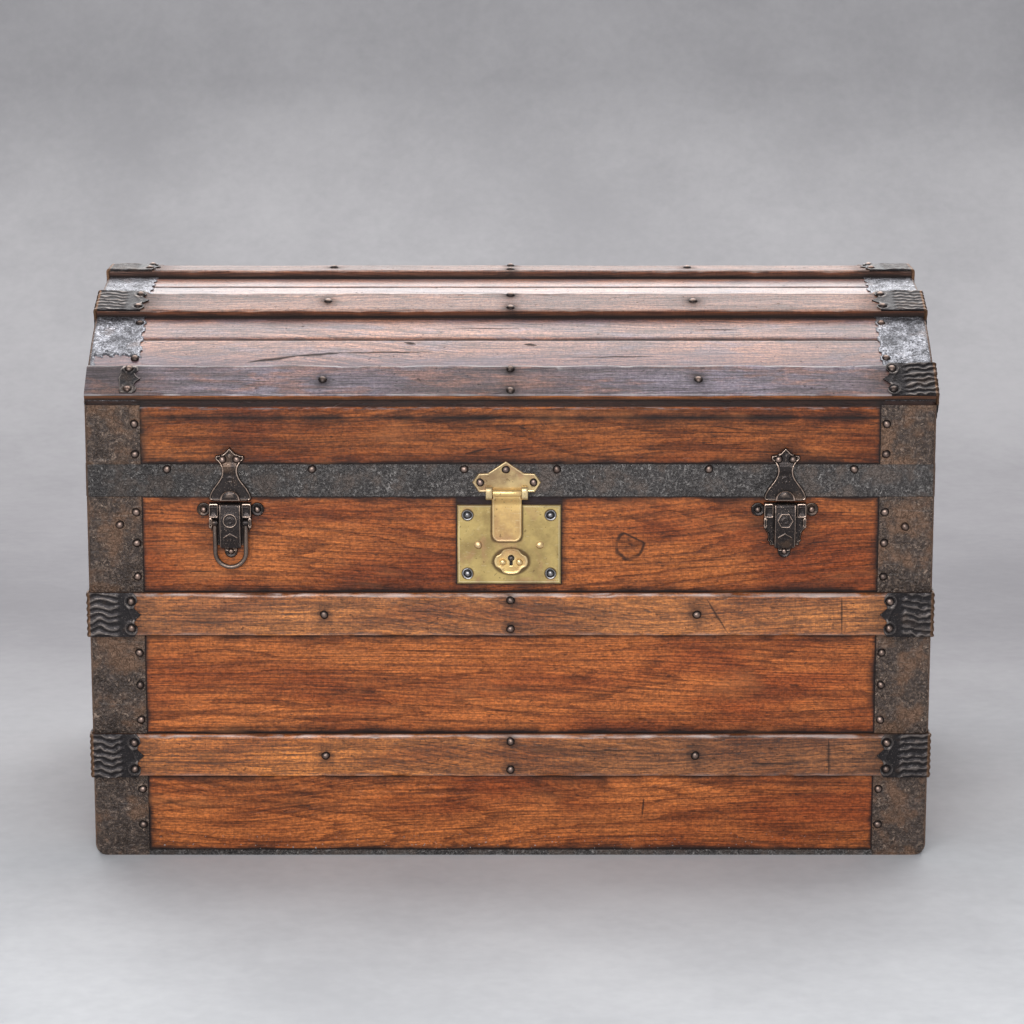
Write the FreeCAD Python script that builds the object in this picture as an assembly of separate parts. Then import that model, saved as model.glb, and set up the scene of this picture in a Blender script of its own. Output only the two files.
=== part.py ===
"""Dome top trunk: pine box, staved lid, oak slats, sheet iron corners, brass hasp lock, two drawbolt catches.

Millimetres. +Z is up, the trunk stands on z = 0 and faces -Y, +X runs to its right-hand end as one faces it.
Every size that can be set by itself is named once below, and the pieces take their places from those names.
"""
import FreeCAD, Part
import math
import os

os.makedirs("parts", exist_ok=True)

# ------------------------------------------------------------------------------ driving dimensions
# box
LENGTH = 861.0              # over the corner irons, end to end
DEPTH = 508.0               # over the corner irons, front to back
SEAM_Z = 379.0              # top of the body boards
LID_GAP = 0.4               # between the body's rim and the lid's rim
BOARD_T = 12.5
IRON_T = 1.2
CORNER_R = 5.0              # vertical corner edges, over the irons
TOE_R = 13.4                # turned-in lower corner of each corner iron
IRON_W = 56.0               # leg of a corner iron
BOTTOM_BOARDS = 4
FOOT_TRIM_H = 5.4           # upright leg of the bottom edge iron
FOOT_TRIM_W = 14.0          # flat leg under the boards

# slats
SLAT_T = 8.3
SLAT_W = 44.0
SLAT_EDGE_R = 2.0           # worn long edges
SLAT_INSET = 0.6            # slats stop this far inside the faces of the end irons
LOWER_SLAT_Z = 108.7        # centre lines
UPPER_SLAT_Z = 257.7
END_SLAT_GAP = 10.0         # between a slat of the trunk's end and the corner irons
CLAMP_L = 54.0              # slat clamp along the slat
CLAMP_T = 1.3
CLAMP_LIP_T = 1.0
CLAMP_LIP_L = 43.0
CLAMP_TAB = 27.0            # tongue of the clamp turned down on the trunk's end
CLAMP_POINT = ((0.86, 1.0), (0.92, 0.6), (0.86, 0.33), (1.0, 0.0))  # shares of its length and half width
REMNANT = (                 # of a broken clamp: along the slat from its nails, and share of half the width
    (-8.0, -0.86), (6.0, -0.9), (7.0, -0.35), (12.0, 0.0),
    (7.0, 0.35), (7.0, 0.9), (-6.0, 0.86), (-10.0, 0.3),
)

# lid
DOME_FOOT_Z = 477.14        # where the dome meets the faces of the front and back boards
LID_STRIP_H = 17.14         # strip above the joint in the lid's front board
DOME_R = 388.0              # outside of the staves
STAVE_T = 9.0
STAVE_JOINTS = (8.7, 27.1)  # degrees each side of the top, besides the joint at the top itself
DOME_SLAT_W = 42.5
DOME_SLAT_DROP = 0.15       # from the lowest dome slat's edge to the foot of the dome
DOME_SLAT_MIDDLE = 0.475    # the middle slat's angle as a share of the lowest slat's
EDGE_IRON_T = 1.0
EDGE_IRON_W = 52.0          # over the staves, along the trunk
EDGE_FLANGE = 38.0          # down the lid's end
BAND_H = 33.0
BAND_T = 1.6
LID_IRON_DROP = 4.14        # from the top of the lid's corner irons to the foot of the dome

# nails
NAIL_HEAD_R = 4.4
NAIL_HEAD_H = 2.7
NAIL_CROWN = (0.72, 0.68)   # a point of the head's crown, as shares of its radius and height
NAIL_SHANK_R = 1.3
NAIL_BITE = 10.0            # shank length past a sheet of iron
NAIL_SHORT = 2.0            # a slat's nails stop this far short of the inside
CORNER_NAIL_INSET = 5.5     # from the inner edge of a corner iron
CORNER_NAIL_HEIGHTS = (33.0, 71.0, 145.0, 182.0, 216.0, 296.0, 331.0, 363.0)
CORNER_ODD_NAILS = ((-1, 33.5, 350.0), (1, 29.5, 348.0))  # one more in each front iron: end, inset, height
BODY_SLAT_NAIL_X = 190.0
SLAT_NAIL_PAIR = 30.0       # the two nails on the slat's middle
CLAMP_NAIL_INSET = 44.0     # from the slat's end
CLAMP_NAIL_PAIR = 28.0
END_SLAT_NAIL_INSET = 19.0
BAND_NAIL_X = (47.0, 201.0, 348.0)
BAND_NAIL_RISE = 28.2       # above the band's lower edge
BAND_END_NAIL_Y = 101.75
LID_NAIL_HEIGHTS = (423.0, 454.0)
EDGE_NAILS = ((1, -4.9), (1, 5.0), (2, -5.7))  # slat counted from the top, and degrees from its centre line
EDGE_NAIL_INSET = 5.0
FLANGE_NAIL_ANGLES = (-27.5, -9.0, 9.0, 27.5)
FLANGE_NAIL_INSET = 7.0

# hinges at the back
HINGE_X = 281.0
HINGE_W = 40.0
HINGE_LEAF_H = 52.0         # body leaf below the pin
HINGE_LID_LEAF_H = 30.0
LEAF_T = 2.0
KNUCKLE_R = 4.5
HINGE_PIN_R = 2.4
PIN_FIT = 0.05              # radial running clearance of every pin in its hole
KNUCKLE_GAP = 0.4           # endwise and round the knuckles
KNUCKLE_STANDOFF = 0.4      # knuckle clear of the boards
LID_OPEN_DEG = 100.0
STOP_LUG_L = 13.0
STOP_LUG_T = 4.0

# lock
LOCK_X = -1.5
LOCK_W = 105.6
LOCK_TOP_Z = 370.7
LOCK_H = 82.0
LOCK_T = 1.5
LOCK_SCREW_INSET = 10.6
SCREW_HEAD_R = 5.6
SCREW_HEAD_H = 2.2
LOCK_RIVET_X = 31.5
LOCK_RIVET_Z = 329.0
RIVET_R = 3.3
RIVET_H = 1.6
CASE_DROP = 4.0             # from the top of the lock plate to the top of the case
CASE_W = 74.0
CASE_H = 66.0
CASE_DEPTH = 10.4
CASE_WALL = 1.2
CASE_FIT = 0.2              # case in its mortise
ESCUTCHEON_X = 0.6
ESCUTCHEON_Z = 312.0
ESCUTCHEON_W = 34.6
ESCUTCHEON_H = 25.6
ESCUTCHEON_T = 1.6
ESCUTCHEON_QUARTER = ((1.0, 0.0), (0.94, 0.34), (0.78, 0.5), (0.56, 0.72), (0.42, 0.96), (0.3, 1.0))
ESCUTCHEON_RIVET_X = 8.4
ESCUTCHEON_RIVET_Z = 311.4
ESCUTCHEON_RIVET_R = 2.8
KEYHOLE_Z = 315.5
KEYHOLE_R = 3.4
KEYHOLE_SLOT_W = 3.2
KEYHOLE_SLOT_END = 306.5
KEY_POST_R = 1.3
RAIL_L = 10.0               # the two guides of the bolt
RAIL_INSET = 1.0            # behind the lock plate

# hasp
HASP_X = -3.7
HASP_HALF_W = 14.4
HASP_T = 2.6
HASP_BOTTOM_Z = 332.7
HASP_CORNER = 7.0
HASP_CORNER_SHARE = 0.35    # where the rounded corner's middle point lies
HASP_PLATE_T = 1.5
HASP_PLATE_OUTLINE = (      # across from the hasp's middle, and up from its pin
    (-28.4, 0.0), (-35.2, 10.3), (-29.0, 19.4), (-19.8, 19.6), (-1.0, 32.2),
    (17.8, 19.6), (28.4, 19.4), (34.8, 10.3), (28.4, 0.0),
)
HASP_PLATE_RIVETS = ((-27.0, 10.3), (27.0, 10.3), (-1.0, 23.6))
HASP_RIVET_R = 3.6
HASP_RIVET_H = 2.0
HASP_PIN_Z = 383.8
HASP_PIN_R = 2.0
HASP_BARREL_R = 4.4
HASP_LUG_W = 6.7
HASP_LUG_RISE = 2.6         # the lugs are stretched this far above and below the pin
HASP_LUG_ROOT = 4.6         # top of the lugs' roots on the plate, above the pin
HASP_FIT = 0.4              # round the hasp's barrel and at its ends
HASP_PLATE_CLEAR = 1.1      # between the hanging hasp and the lock plate
HASP_OPEN_DEG = 160.0
STAPLE_T = 4.0              # along X
STAPLE_H = 15.0
STAPLE_CENTRE_Z = 351.0
STAPLE_REACH = 8.6          # behind the front boards' face
STAPLE_WALL = 2.6
STAPLE_SLOT_CLEAR = 1.0
STAPLE_SWING_CLEAR = 0.6

# lock bolt
BOLT_H = 7.0
BOLT_T = 3.6
BOLT_L = 26.0
BOLT_THROW = 9.0
BOLT_REST_GAP = 2.4         # between the drawn-back bolt and the staple
BOLT_FIT = 0.3              # above and below the bolt
BOLT_TAIL_W = 6.0
BOLT_TAIL_T = 3.1
BOLT_TAIL_L = 24.0
BOLT_TAIL_X = 9.0           # from the bolt's nose
SPRING_T = 0.8
SPRING_INSET = 6.0          # from the bolt's nose

# drawbolt catches
CATCH_INSETS = (146.2, 152.1)  # middle of the left and the right catch, in from the trunk's ends
CATCH_PLATE_T = 2.0
CATCH_FOOT_Z = 378.3
CATCH_PLATE_HALF = (        # right half of the bell from its apex: across, and up from its foot
    (0.0, 51.9), (5.5, 46.1), (14.0, 43.7), (14.0, 38.7), (9.8, 34.1), (8.2, 28.1),
    (9.6, 22.1), (13.4, 16.1), (17.8, 9.0), (20.8, 4.0), (21.4, 0.0),
)
CATCH_RIVET_X = 7.3
CATCH_RIVET_RISE = 39.9     # above the foot
CATCH_RIVET_R = 3.8
CATCH_RIVET_H = 3.0
LUG_R = 10.0
LUG_FOOT_Z = 377.2
LUG_REACH = 9.0             # in front of the boards' face
BASE_T = 2.0
BASE_TOP_Z = 373.3
BASE_HALF = 21.3
BASE_TAPER = ((17.0, 33.7), (15.6, 44.3), (6.6, 46.8))  # half width, and down from the top, below the cheeks
EAR_X = 27.2
EAR_Z = 366.0
EAR_R = 7.0
EAR_RIVET_R = 3.6
EAR_RIVET_H = 2.2
TAB_Z = 322.5
TAB_R = 6.6
TAB_RIVET_R = 3.2
TAB_RIVET_H = 1.8
CHEEK_REACH = 9.5
CHEEK_INNER = 11.9
CHEEK_BOTTOM_Z = 358.6
BAIL_CHEEK_INNER = 18.7
BAIL_CHEEK_REACH = 8.7
BAIL_CHEEK_BOTTOM_Z = 347.6
LEVER_PIN_Z = 369.2
CATCH_PIN_Y = 7.0           # pin axes in front of the boards' face
LEVER_PIN_R = 1.9
LEVER_BARREL_R = 4.5
LEVER_HALF = 11.2
LEVER_PROFILE = ((0.0, 0.0), (-1.2, 12.0), (-1.0, 22.0), (1.6, 34.0), (4.0, 42.8))  # in from the barrel, down
LEVER_T = 2.6
LEVER_OPEN_DEG = 95.0
BAIL_PIN_Z = 353.0
BAIL_PIN_Y = 6.4
BAIL_PIN_R = 1.6
BAIL_EYE_R = 3.8
BAIL_EYE_INNER = 12.9       # the eyes reach from here out to their cheeks
BAIL_STUB_INNER = 12.5      # the stub pins reach in to here
BAIL_FIT = 0.4              # between an eye and its cheek
BAIL_WIRE_R = 2.4
BAIL_HALF = 15.6
BAIL_ARC_Z = 322.9
BAIL_OPEN_DEG = 100.0

# end handles
HANDLE_Z = 207.0
HANDLE_HALF_SPAN = 92.0     # to the inner faces of the caps
HANDLE_STANDOFF = 12.0      # pivot line from the end boards
HANDLE_STRAP_W = 19.0
HANDLE_STRAP_T = 6.0
HANDLE_SAG = 24.0
HANDLE_TONGUE_R = 4.0
HANDLE_TONGUE_L = 14.0
HANDLE_END_GAP = 1.0        # between the strap's ends and the caps
HANDLE_SHOULDER = 8.0       # straight stretch at each end of the bow
HANDLE_TONGUE_LAP = 6.0     # tongue's root inside the strap
HANDLE_SWING_DEG = 165.0
CAP_L = 34.0
CAP_H = 30.0
CAP_PLATE_T = 2.5
CAP_EAR = 9.0
CAP_WALL = 3.0              # round the strap's tongue

OVERCUT = 1.0               # a cutting tool runs this far past what it cuts

# ------------------------------------------------------------------------------- places worked out
HALF_L = LENGTH / 2
HALF_D = DEPTH / 2
WOOD_L = HALF_L - IRON_T            # half length over the boards
WOOD_D = HALF_D - IRON_T            # half depth over the boards
FRONT_Y = -WOOD_D                   # outer face of the front boards
LID_Z = SEAM_Z + LID_GAP            # lower edge of the lid
BAND_TOP_Z = LID_Z + BAND_H
INNER_L = WOOD_L - BOARD_T
INNER_D = WOOD_D - BOARD_T
DOME_CENTRE_Z = DOME_FOOT_Z - math.sqrt(DOME_R ** 2 - WOOD_D ** 2)
DOME_TOP_Z = DOME_CENTRE_Z + DOME_R
DOME_HALF_DEG = math.degrees(math.asin(WOOD_D / DOME_R))
LOW_SLAT_DEG = DOME_HALF_DEG - math.degrees((DOME_SLAT_W / 2 + DOME_SLAT_DROP) / DOME_R)
MIDDLE_SLAT_DEG = DOME_SLAT_MIDDLE * LOW_SLAT_DEG
DOME_SLAT_ANGLES = (-LOW_SLAT_DEG, -MIDDLE_SLAT_DEG, 0.0, MIDDLE_SLAT_DEG, LOW_SLAT_DEG)
LID_JOINT_Z = DOME_FOOT_Z - LID_STRIP_H
LID_IRON_TOP_Z = DOME_FOOT_Z - LID_IRON_DROP
CATCH_X = (CATCH_INSETS[0] - HALF_L, HALF_L - CATCH_INSETS[1])
BOARD_JOINTS_Z = (LOWER_SLAT_Z, UPPER_SLAT_Z)
HINGE_Y = WOOD_D + KNUCKLE_STANDOFF + KNUCKLE_R
HINGE_Z = SEAM_Z + LID_GAP / 2
X_AXIS = FreeCAD.Vector(1, 0, 0)
Y_AXIS = FreeCAD.Vector(0, 1, 0)
Z_AXIS = FreeCAD.Vector(0, 0, 1)


# ----------------------------------------------------------------------------------- shape helpers
def vec(x, y, z):
    """A point or direction."""
    return FreeCAD.Vector(x, y, z)


def box(x0, x1, y0, y1, z0, z1):
    """A block between two corners."""
    return Part.makeBox(x1 - x0, y1 - y0, z1 - z0, vec(x0, y0, z0))


def rod_x(x0, x1, y, z, radius):
    """A round bar along X."""
    return Part.makeCylinder(radius, x1 - x0, vec(x0, y, z), X_AXIS)


def rod_y(y0, y1, x, z, radius):
    """A round bar along Y."""
    return Part.makeCylinder(radius, y1 - y0, vec(x, y0, z), Y_AXIS)


def plate_xz(points, y0, y1):
    """A flat plate: its outline in X and Z, from y0 to y1."""
    corners = [vec(x, y0, z) for x, z in points]
    wire = Part.makePolygon(corners + corners[:1])
    return Part.Face(wire).extrude(vec(0, y1 - y0, 0))


def plate_yz(points, x0, x1):
    """A flat plate: its outline in Y and Z, from x0 to x1."""
    corners = [vec(x0, y, z) for y, z in points]
    wire = Part.makePolygon(corners + corners[:1])
    return Part.Face(wire).extrude(vec(x1 - x0, 0, 0))


def fused(shapes):
    """One solid from several that meet."""
    whole = shapes[0].multiFuse(shapes[1:]) if len(shapes) > 1 else shapes[0]
    return whole.removeSplitter()


def mirrored_x(shape):
    """The same piece for the other end of the trunk."""
    return shape.mirror(vec(0, 0, 0), X_AXIS)


def mirrored_y(shape):
    """The same piece for the other side, front to back."""
    return shape.mirror(vec(0, 0, 0), Y_AXIS)


def turned(shape, axis, centre, degrees):
    """A copy turned about a line."""
    copy = shape.copy()
    copy.rotate(centre, axis, degrees)
    return copy


def moved(shape, x, y, z):
    """A copy moved."""
    copy = shape.copy()
    copy.translate(vec(x, y, z))
    return copy


def solids_of(shapes):
    """Every solid in a list of shapes."""
    return [solid for shape in shapes for solid in shape.Solids]


def write(name, *shapes):
    """Write one node, a single solid or a group of separate ones."""
    solids = solids_of(shapes)
    node = solids[0] if len(solids) == 1 else Part.makeCompound(solids)
    node.exportStep("parts/" + name + ".step")
    print(name, len(solids), "valid" if node.isValid() else "NOT VALID")


def envelope(inset, z0, z1):
    """The box's outside less an inset: rounded upright corners, and a turned-in toe at each lower corner."""
    half_l = HALF_L - inset
    half_d = HALF_D - inset
    block = box(-half_l, half_l, -half_d, half_d, z0, z1)
    upright = [e for e in block.Edges if abs(e.tangentAt(e.FirstParameter).z) > 0.9]
    block = block.makeFillet(CORNER_R - inset, upright)
    toe = TOE_R - inset
    if z0 > inset + toe:
        return block
    for side in (-1, 1):
        for end in (-1, 1):
            x = end * half_l
            notch = box(min(x, x - end * toe), max(x, x - end * toe), -half_d, half_d, inset, inset + toe)
            notch = notch.cut(rod_y(-half_d, half_d, x - end * toe, inset + toe, toe))
            y_in = side * (HALF_D - IRON_W)
            y_out = side * half_d
            notch = notch.common(box(-half_l, half_l, min(y_in, y_out), max(y_in, y_out), inset, z1))
            block = block.cut(notch)
    return block


def dome_shell(r0, r1, x0, x1, degrees0, degrees1):
    """A stretch of the dome between two radii, two ends and two angles from the top, positive to the back."""
    tube = Part.makeCylinder(r1, x1 - x0, vec(x0, 0, DOME_CENTRE_Z), X_AXIS)
    tube = tube.cut(Part.makeCylinder(r0, x1 - x0, vec(x0, 0, DOME_CENTRE_Z), X_AXIS))
    reach = 2 * DOME_R
    middle = (degrees0 + degrees1) / 2
    points = [(0.0, DOME_CENTRE_Z)]
    for degrees in (degrees0, middle, degrees1):
        angle = math.radians(degrees)
        points.append((reach * math.sin(angle), DOME_CENTRE_Z + reach * math.cos(angle)))
    return tube.common(plate_yz(points, x0, x1))


def on_dome(shape, degrees):
    """A piece made on top of the dome, carried round to its angle from the top (positive to the back)."""
    return turned(shape, X_AXIS, vec(0, 0, DOME_CENTRE_Z), -degrees)


def nail(point, outward, shank, head_r=NAIL_HEAD_R, head_h=NAIL_HEAD_H):
    """A nail with a domed head seated at a point, its shank driven in against the outward direction."""
    rim = vec(head_r, 0, 0)
    crown = Part.Arc(vec(0, 0, head_h), vec(head_r * NAIL_CROWN[0], 0, head_h * NAIL_CROWN[1]), rim).toShape()
    shank_r = NAIL_SHANK_R
    corners = [rim, vec(shank_r, 0, 0), vec(shank_r, 0, -shank), vec(0, 0, -shank), vec(0, 0, head_h)]
    sides = [Part.makeLine(a, b) for a, b in zip(corners, corners[1:])]
    solid = Part.Face(Part.Wire([crown] + sides)).revolve(vec(0, 0, 0), Z_AXIS, 360)
    solid.Placement = FreeCAD.Placement(point, FreeCAD.Rotation(Z_AXIS, outward))
    return solid


# ---------------------------------------------------------------------------------------- body box
def body_boards():
    """Front, back and end walls of three boards each, and the bottom boards between them."""
    inside = envelope(IRON_T, IRON_T, SEAM_Z)
    edges = (IRON_T,) + BOARD_JOINTS_Z + (SEAM_Z,)
    walls = {
        "front_boards": (-WOOD_L, WOOD_L, -WOOD_D, -INNER_D),
        "back_boards": (-WOOD_L, WOOD_L, INNER_D, WOOD_D),
        "end_boards_left": (-WOOD_L, -INNER_L, -INNER_D, INNER_D),
        "end_boards_right": (INNER_L, WOOD_L, -INNER_D, INNER_D),
    }
    made = {}
    for name, (x0, x1, y0, y1) in walls.items():
        made[name] = [box(x0, x1, y0, y1, low, high).common(inside) for low, high in zip(edges, edges[1:])]
    width = 2 * INNER_D / BOTTOM_BOARDS
    made["bottom_boards"] = [
        box(-INNER_L, INNER_L, -INNER_D + i * width, -INNER_D + (i + 1) * width, IRON_T, IRON_T + BOARD_T)
        for i in range(BOTTOM_BOARDS)
    ]
    return made


def corner_iron():
    """Sheet iron wrapped round the front left corner and turned in under it."""
    shell = envelope(0, 0, SEAM_Z).cut(envelope(IRON_T, IRON_T, SEAM_Z))
    reach = HALF_L - IRON_W
    across = HALF_D - IRON_W
    return shell.common(box(-HALF_L, -reach, -HALF_D, -across, 0, SEAM_Z))


def bottom_edge_iron():
    """Four strips of angle round the foot, each between two corner irons."""
    along_x = HALF_L - IRON_W
    along_y = HALF_D - IRON_W
    front = fused([
        box(-along_x, along_x, -HALF_D, -WOOD_D, 0, FOOT_TRIM_H),
        box(-along_x, along_x, -HALF_D, -HALF_D + FOOT_TRIM_W, 0, IRON_T),
    ])
    left = fused([
        box(-HALF_L, -WOOD_L, -along_y, along_y, 0, FOOT_TRIM_H),
        box(-HALF_L, -HALF_L + FOOT_TRIM_W, -along_y, along_y, 0, IRON_T),
    ])
    return [front, mirrored_y(front), left, mirrored_x(left)]


# -------------------------------------------------------------------------------- slats and clamps
def worn(block, radius):
    """A slat with its outer long edges rounded by wear: edges along X on the face at the highest Z."""
    top = block.BoundBox.ZMax
    edges = [
        e for e in block.Edges
        if abs(e.tangentAt(e.FirstParameter).x) > 0.9 and e.BoundBox.ZMin > top - 0.01
    ]
    return block.makeFillet(radius, edges)


def slat_clamp(slat_w):
    """Cap over a slat's end, made with the slat along X, its seat at z = 0 and the trunk's end face at x = 0.

    A pointed plate lies on the slat's face, lips hold its edges, and a wall with a tongue goes down the end.
    """
    half = slat_w / 2
    outer = half + CLAMP_LIP_T
    upper = [(-CLAMP_L * along, outer * across) for along, across in CLAMP_POINT]
    lower = [(x, -y) for x, y in reversed(upper[:-1])]
    outline = [(CLAMP_T, -outer), (CLAMP_T, outer)] + upper + lower
    corners = [vec(x, y, SLAT_T) for x, y in outline]
    face = Part.Face(Part.makePolygon(corners + corners[:1])).extrude(vec(0, 0, CLAMP_T))
    lips = [
        box(-CLAMP_LIP_L, CLAMP_T, -outer, -half, IRON_T, SLAT_T),
        box(-CLAMP_LIP_L, CLAMP_T, half, outer, IRON_T, SLAT_T),
    ]
    wall = box(-SLAT_INSET, CLAMP_T, -outer, outer, IRON_T, SLAT_T + CLAMP_T)
    tongue = box(0, CLAMP_T, -outer, outer, -CLAMP_TAB, SLAT_T)
    return fused([face, wall, tongue] + lips)


def slat_nails(slat_face_z, shank):
    """Nails of one slat made along X: one each side, and pairs at the middle and at the clamps."""
    pair = SLAT_NAIL_PAIR / 2
    places = [(-BODY_SLAT_NAIL_X, 0), (BODY_SLAT_NAIL_X, 0), (0, -pair), (0, pair)]
    made = [nail(vec(x, y, slat_face_z), Z_AXIS, shank) for x, y in places]
    for end in (-1, 1):
        x = end * (HALF_L - CLAMP_NAIL_INSET)
        for side in (-1, 1):
            made.append(nail(vec(x, side * CLAMP_NAIL_PAIR / 2, slat_face_z + CLAMP_T), Z_AXIS, shank))
    return made


def to_front(shape, z):
    """A piece made on a slat along X with its seat at z = 0, set against the front boards at a height."""
    return moved(turned(shape, X_AXIS, vec(0, 0, 0), 90), 0, FRONT_Y, z)


SLAT_END = HALF_L - SLAT_INSET              # half length of a slat that runs end to end
BODY_SLAT_SHANK = SLAT_T + BOARD_T - NAIL_SHORT
DOME_SLAT_SHANK = SLAT_T + STAVE_T - NAIL_SHORT


def long_slat(width, iron_reach, iron_t):
    """A slat along X with its seat at z = 0, rebated underneath for the irons at its ends."""
    slat = worn(box(-SLAT_END, SLAT_END, -width / 2, width / 2, 0, SLAT_T), SLAT_EDGE_R)
    for end in (-1, 1):
        x_in = end * (HALF_L - iron_reach)
        x_out = end * (HALF_L + OVERCUT)
        slat = slat.cut(box(min(x_in, x_out), max(x_in, x_out), -width, width, -OVERCUT, iron_t))
    return slat


def body_slats():
    """Slats, clamps and their nails on the box."""
    slat = long_slat(SLAT_W, IRON_W, IRON_T)
    clamp = moved(slat_clamp(SLAT_W), HALF_L, 0, 0)
    clamps = [clamp, mirrored_x(clamp)]
    nails = slat_nails(SLAT_T, BODY_SLAT_SHANK)
    write("front_slat_lower", to_front(slat, LOWER_SLAT_Z))
    write("front_slat_upper", to_front(slat, UPPER_SLAT_Z))
    front_clamps = [to_front(c, z) for z in BOARD_JOINTS_Z for c in clamps]
    front_nails = [to_front(n, z) for z in BOARD_JOINTS_Z for n in nails]
    write("back_slats", *[mirrored_y(to_front(slat, z)) for z in BOARD_JOINTS_Z])
    write("slat_clamps_front", *front_clamps)
    write("slat_clamps_back", *[mirrored_y(c) for c in front_clamps])
    half = HALF_D - IRON_W - END_SLAT_GAP
    nail_x = half - END_SLAT_NAIL_INSET
    end_slat = worn(box(-half, half, -SLAT_W / 2, SLAT_W / 2, 0, SLAT_T), SLAT_EDGE_R)
    end_nails = [nail(vec(x, 0, SLAT_T), Z_AXIS, BODY_SLAT_SHANK) for x in (-nail_x, 0, nail_x)]
    placed = []
    placed_nails = []
    for z in BOARD_JOINTS_Z:
        for piece, into in [(end_slat, placed)] + [(n, placed_nails) for n in end_nails]:
            upright = turned(turned(piece, X_AXIS, vec(0, 0, 0), 90), Z_AXIS, vec(0, 0, 0), 90)
            right = moved(upright, WOOD_L, 0, z)
            into.append(right)
            into.append(mirrored_x(right))
    write("end_slats", *placed)
    write("slat_nails", *front_nails, *[mirrored_y(n) for n in front_nails], *placed_nails)


def body_nails():
    """Nails of the corner irons, on both legs of each of the four corners, and of the handle caps."""
    x = HALF_L - IRON_W + CORNER_NAIL_INSET
    y = HALF_D - IRON_W + CORNER_NAIL_INSET
    shank = IRON_T + NAIL_BITE
    made = []
    for z in CORNER_NAIL_HEIGHTS:
        made.append(nail(vec(-x, -HALF_D, z), -Y_AXIS, shank))
        made.append(nail(vec(-HALF_L, -y, z), -X_AXIS, shank))
    made = made + [mirrored_x(n) for n in made]
    made = made + [mirrored_y(n) for n in made]
    for end, inset, z in CORNER_ODD_NAILS:
        made.append(nail(vec(end * (HALF_L - inset), -HALF_D, z), -Y_AXIS, shank))
    for side in (-1, 1):
        for along in (-1, 1):
            y_nail = side * (HANDLE_HALF_SPAN + CAP_L / 2)
            z_nail = HANDLE_Z + along * (CAP_H + CAP_EAR) / 2
            one = nail(vec(WOOD_L + CAP_PLATE_T, y_nail, z_nail), X_AXIS, CAP_PLATE_T + NAIL_BITE)
            made.append(one)
            made.append(mirrored_x(one))
    write("body_nails", *made)


# --------------------------------------------------------------------------------------------- lid
def dome_block(radius, inset):
    """Everything under the dome down to the lid's lower edge, at a radius, the walls drawn in by an inset."""
    half_d = WOOD_D - inset
    below = box(-WOOD_L, WOOD_L, -half_d, half_d, LID_Z, DOME_TOP_Z)
    return below.common(Part.makeCylinder(radius, 2 * WOOD_L, vec(-WOOD_L, 0, DOME_CENTRE_Z), X_AXIS))


def lid_boards():
    """Front and back boards with a strip above each, arched end boards, and the staves that lie on them."""
    outline = envelope(IRON_T, LID_Z, DOME_TOP_Z)
    foot = math.radians(DOME_HALF_DEG)
    reach = 2 * DOME_R
    wedge = plate_yz([
        (0, DOME_CENTRE_Z), (-reach * math.sin(foot), DOME_CENTRE_Z + reach * math.cos(foot)),
        (0, DOME_CENTRE_Z + reach), (reach * math.sin(foot), DOME_CENTRE_Z + reach * math.cos(foot)),
    ], -HALF_L, HALF_L)
    wall = box(-WOOD_L, WOOD_L, -WOOD_D, -INNER_D, LID_Z, DOME_FOOT_Z).cut(wedge).common(outline)
    low = box(-HALF_L, HALF_L, -HALF_D, HALF_D, 0, LID_JOINT_Z)
    front = [wall.common(low), wall.cut(low)]
    write("lid_front_boards", *front)
    write("lid_back_boards", *[mirrored_y(b) for b in front])
    end = dome_block(DOME_R - STAVE_T, BOARD_T)
    end = end.common(box(-WOOD_L, -INNER_L, -WOOD_D, WOOD_D, LID_Z, DOME_TOP_Z))
    left = [end.common(low), end.cut(low)]
    write("lid_end_boards_left", *left)
    write("lid_end_boards_right", *[mirrored_x(b) for b in left])
    half = list(STAVE_JOINTS) + [DOME_HALF_DEG]
    joints = [-j for j in reversed(half)] + [0] + half
    staves = [
        dome_shell(DOME_R - STAVE_T, DOME_R, -WOOD_L, WOOD_L, a, b) for a, b in zip(joints, joints[1:])
    ]
    write("dome_staves", *staves)


def edge_iron():
    """Pressed sheet over the left ends of the staves, turned down over the end boards."""
    outside = DOME_R + EDGE_IRON_T
    over = dome_shell(DOME_R, outside, -HALF_L, -HALF_L + EDGE_IRON_W, -DOME_HALF_DEG, DOME_HALF_DEG)
    down = dome_shell(DOME_R - EDGE_FLANGE, outside, -HALF_L, -WOOD_L, -DOME_HALF_DEG, DOME_HALF_DEG)
    return fused([over, down])


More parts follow.
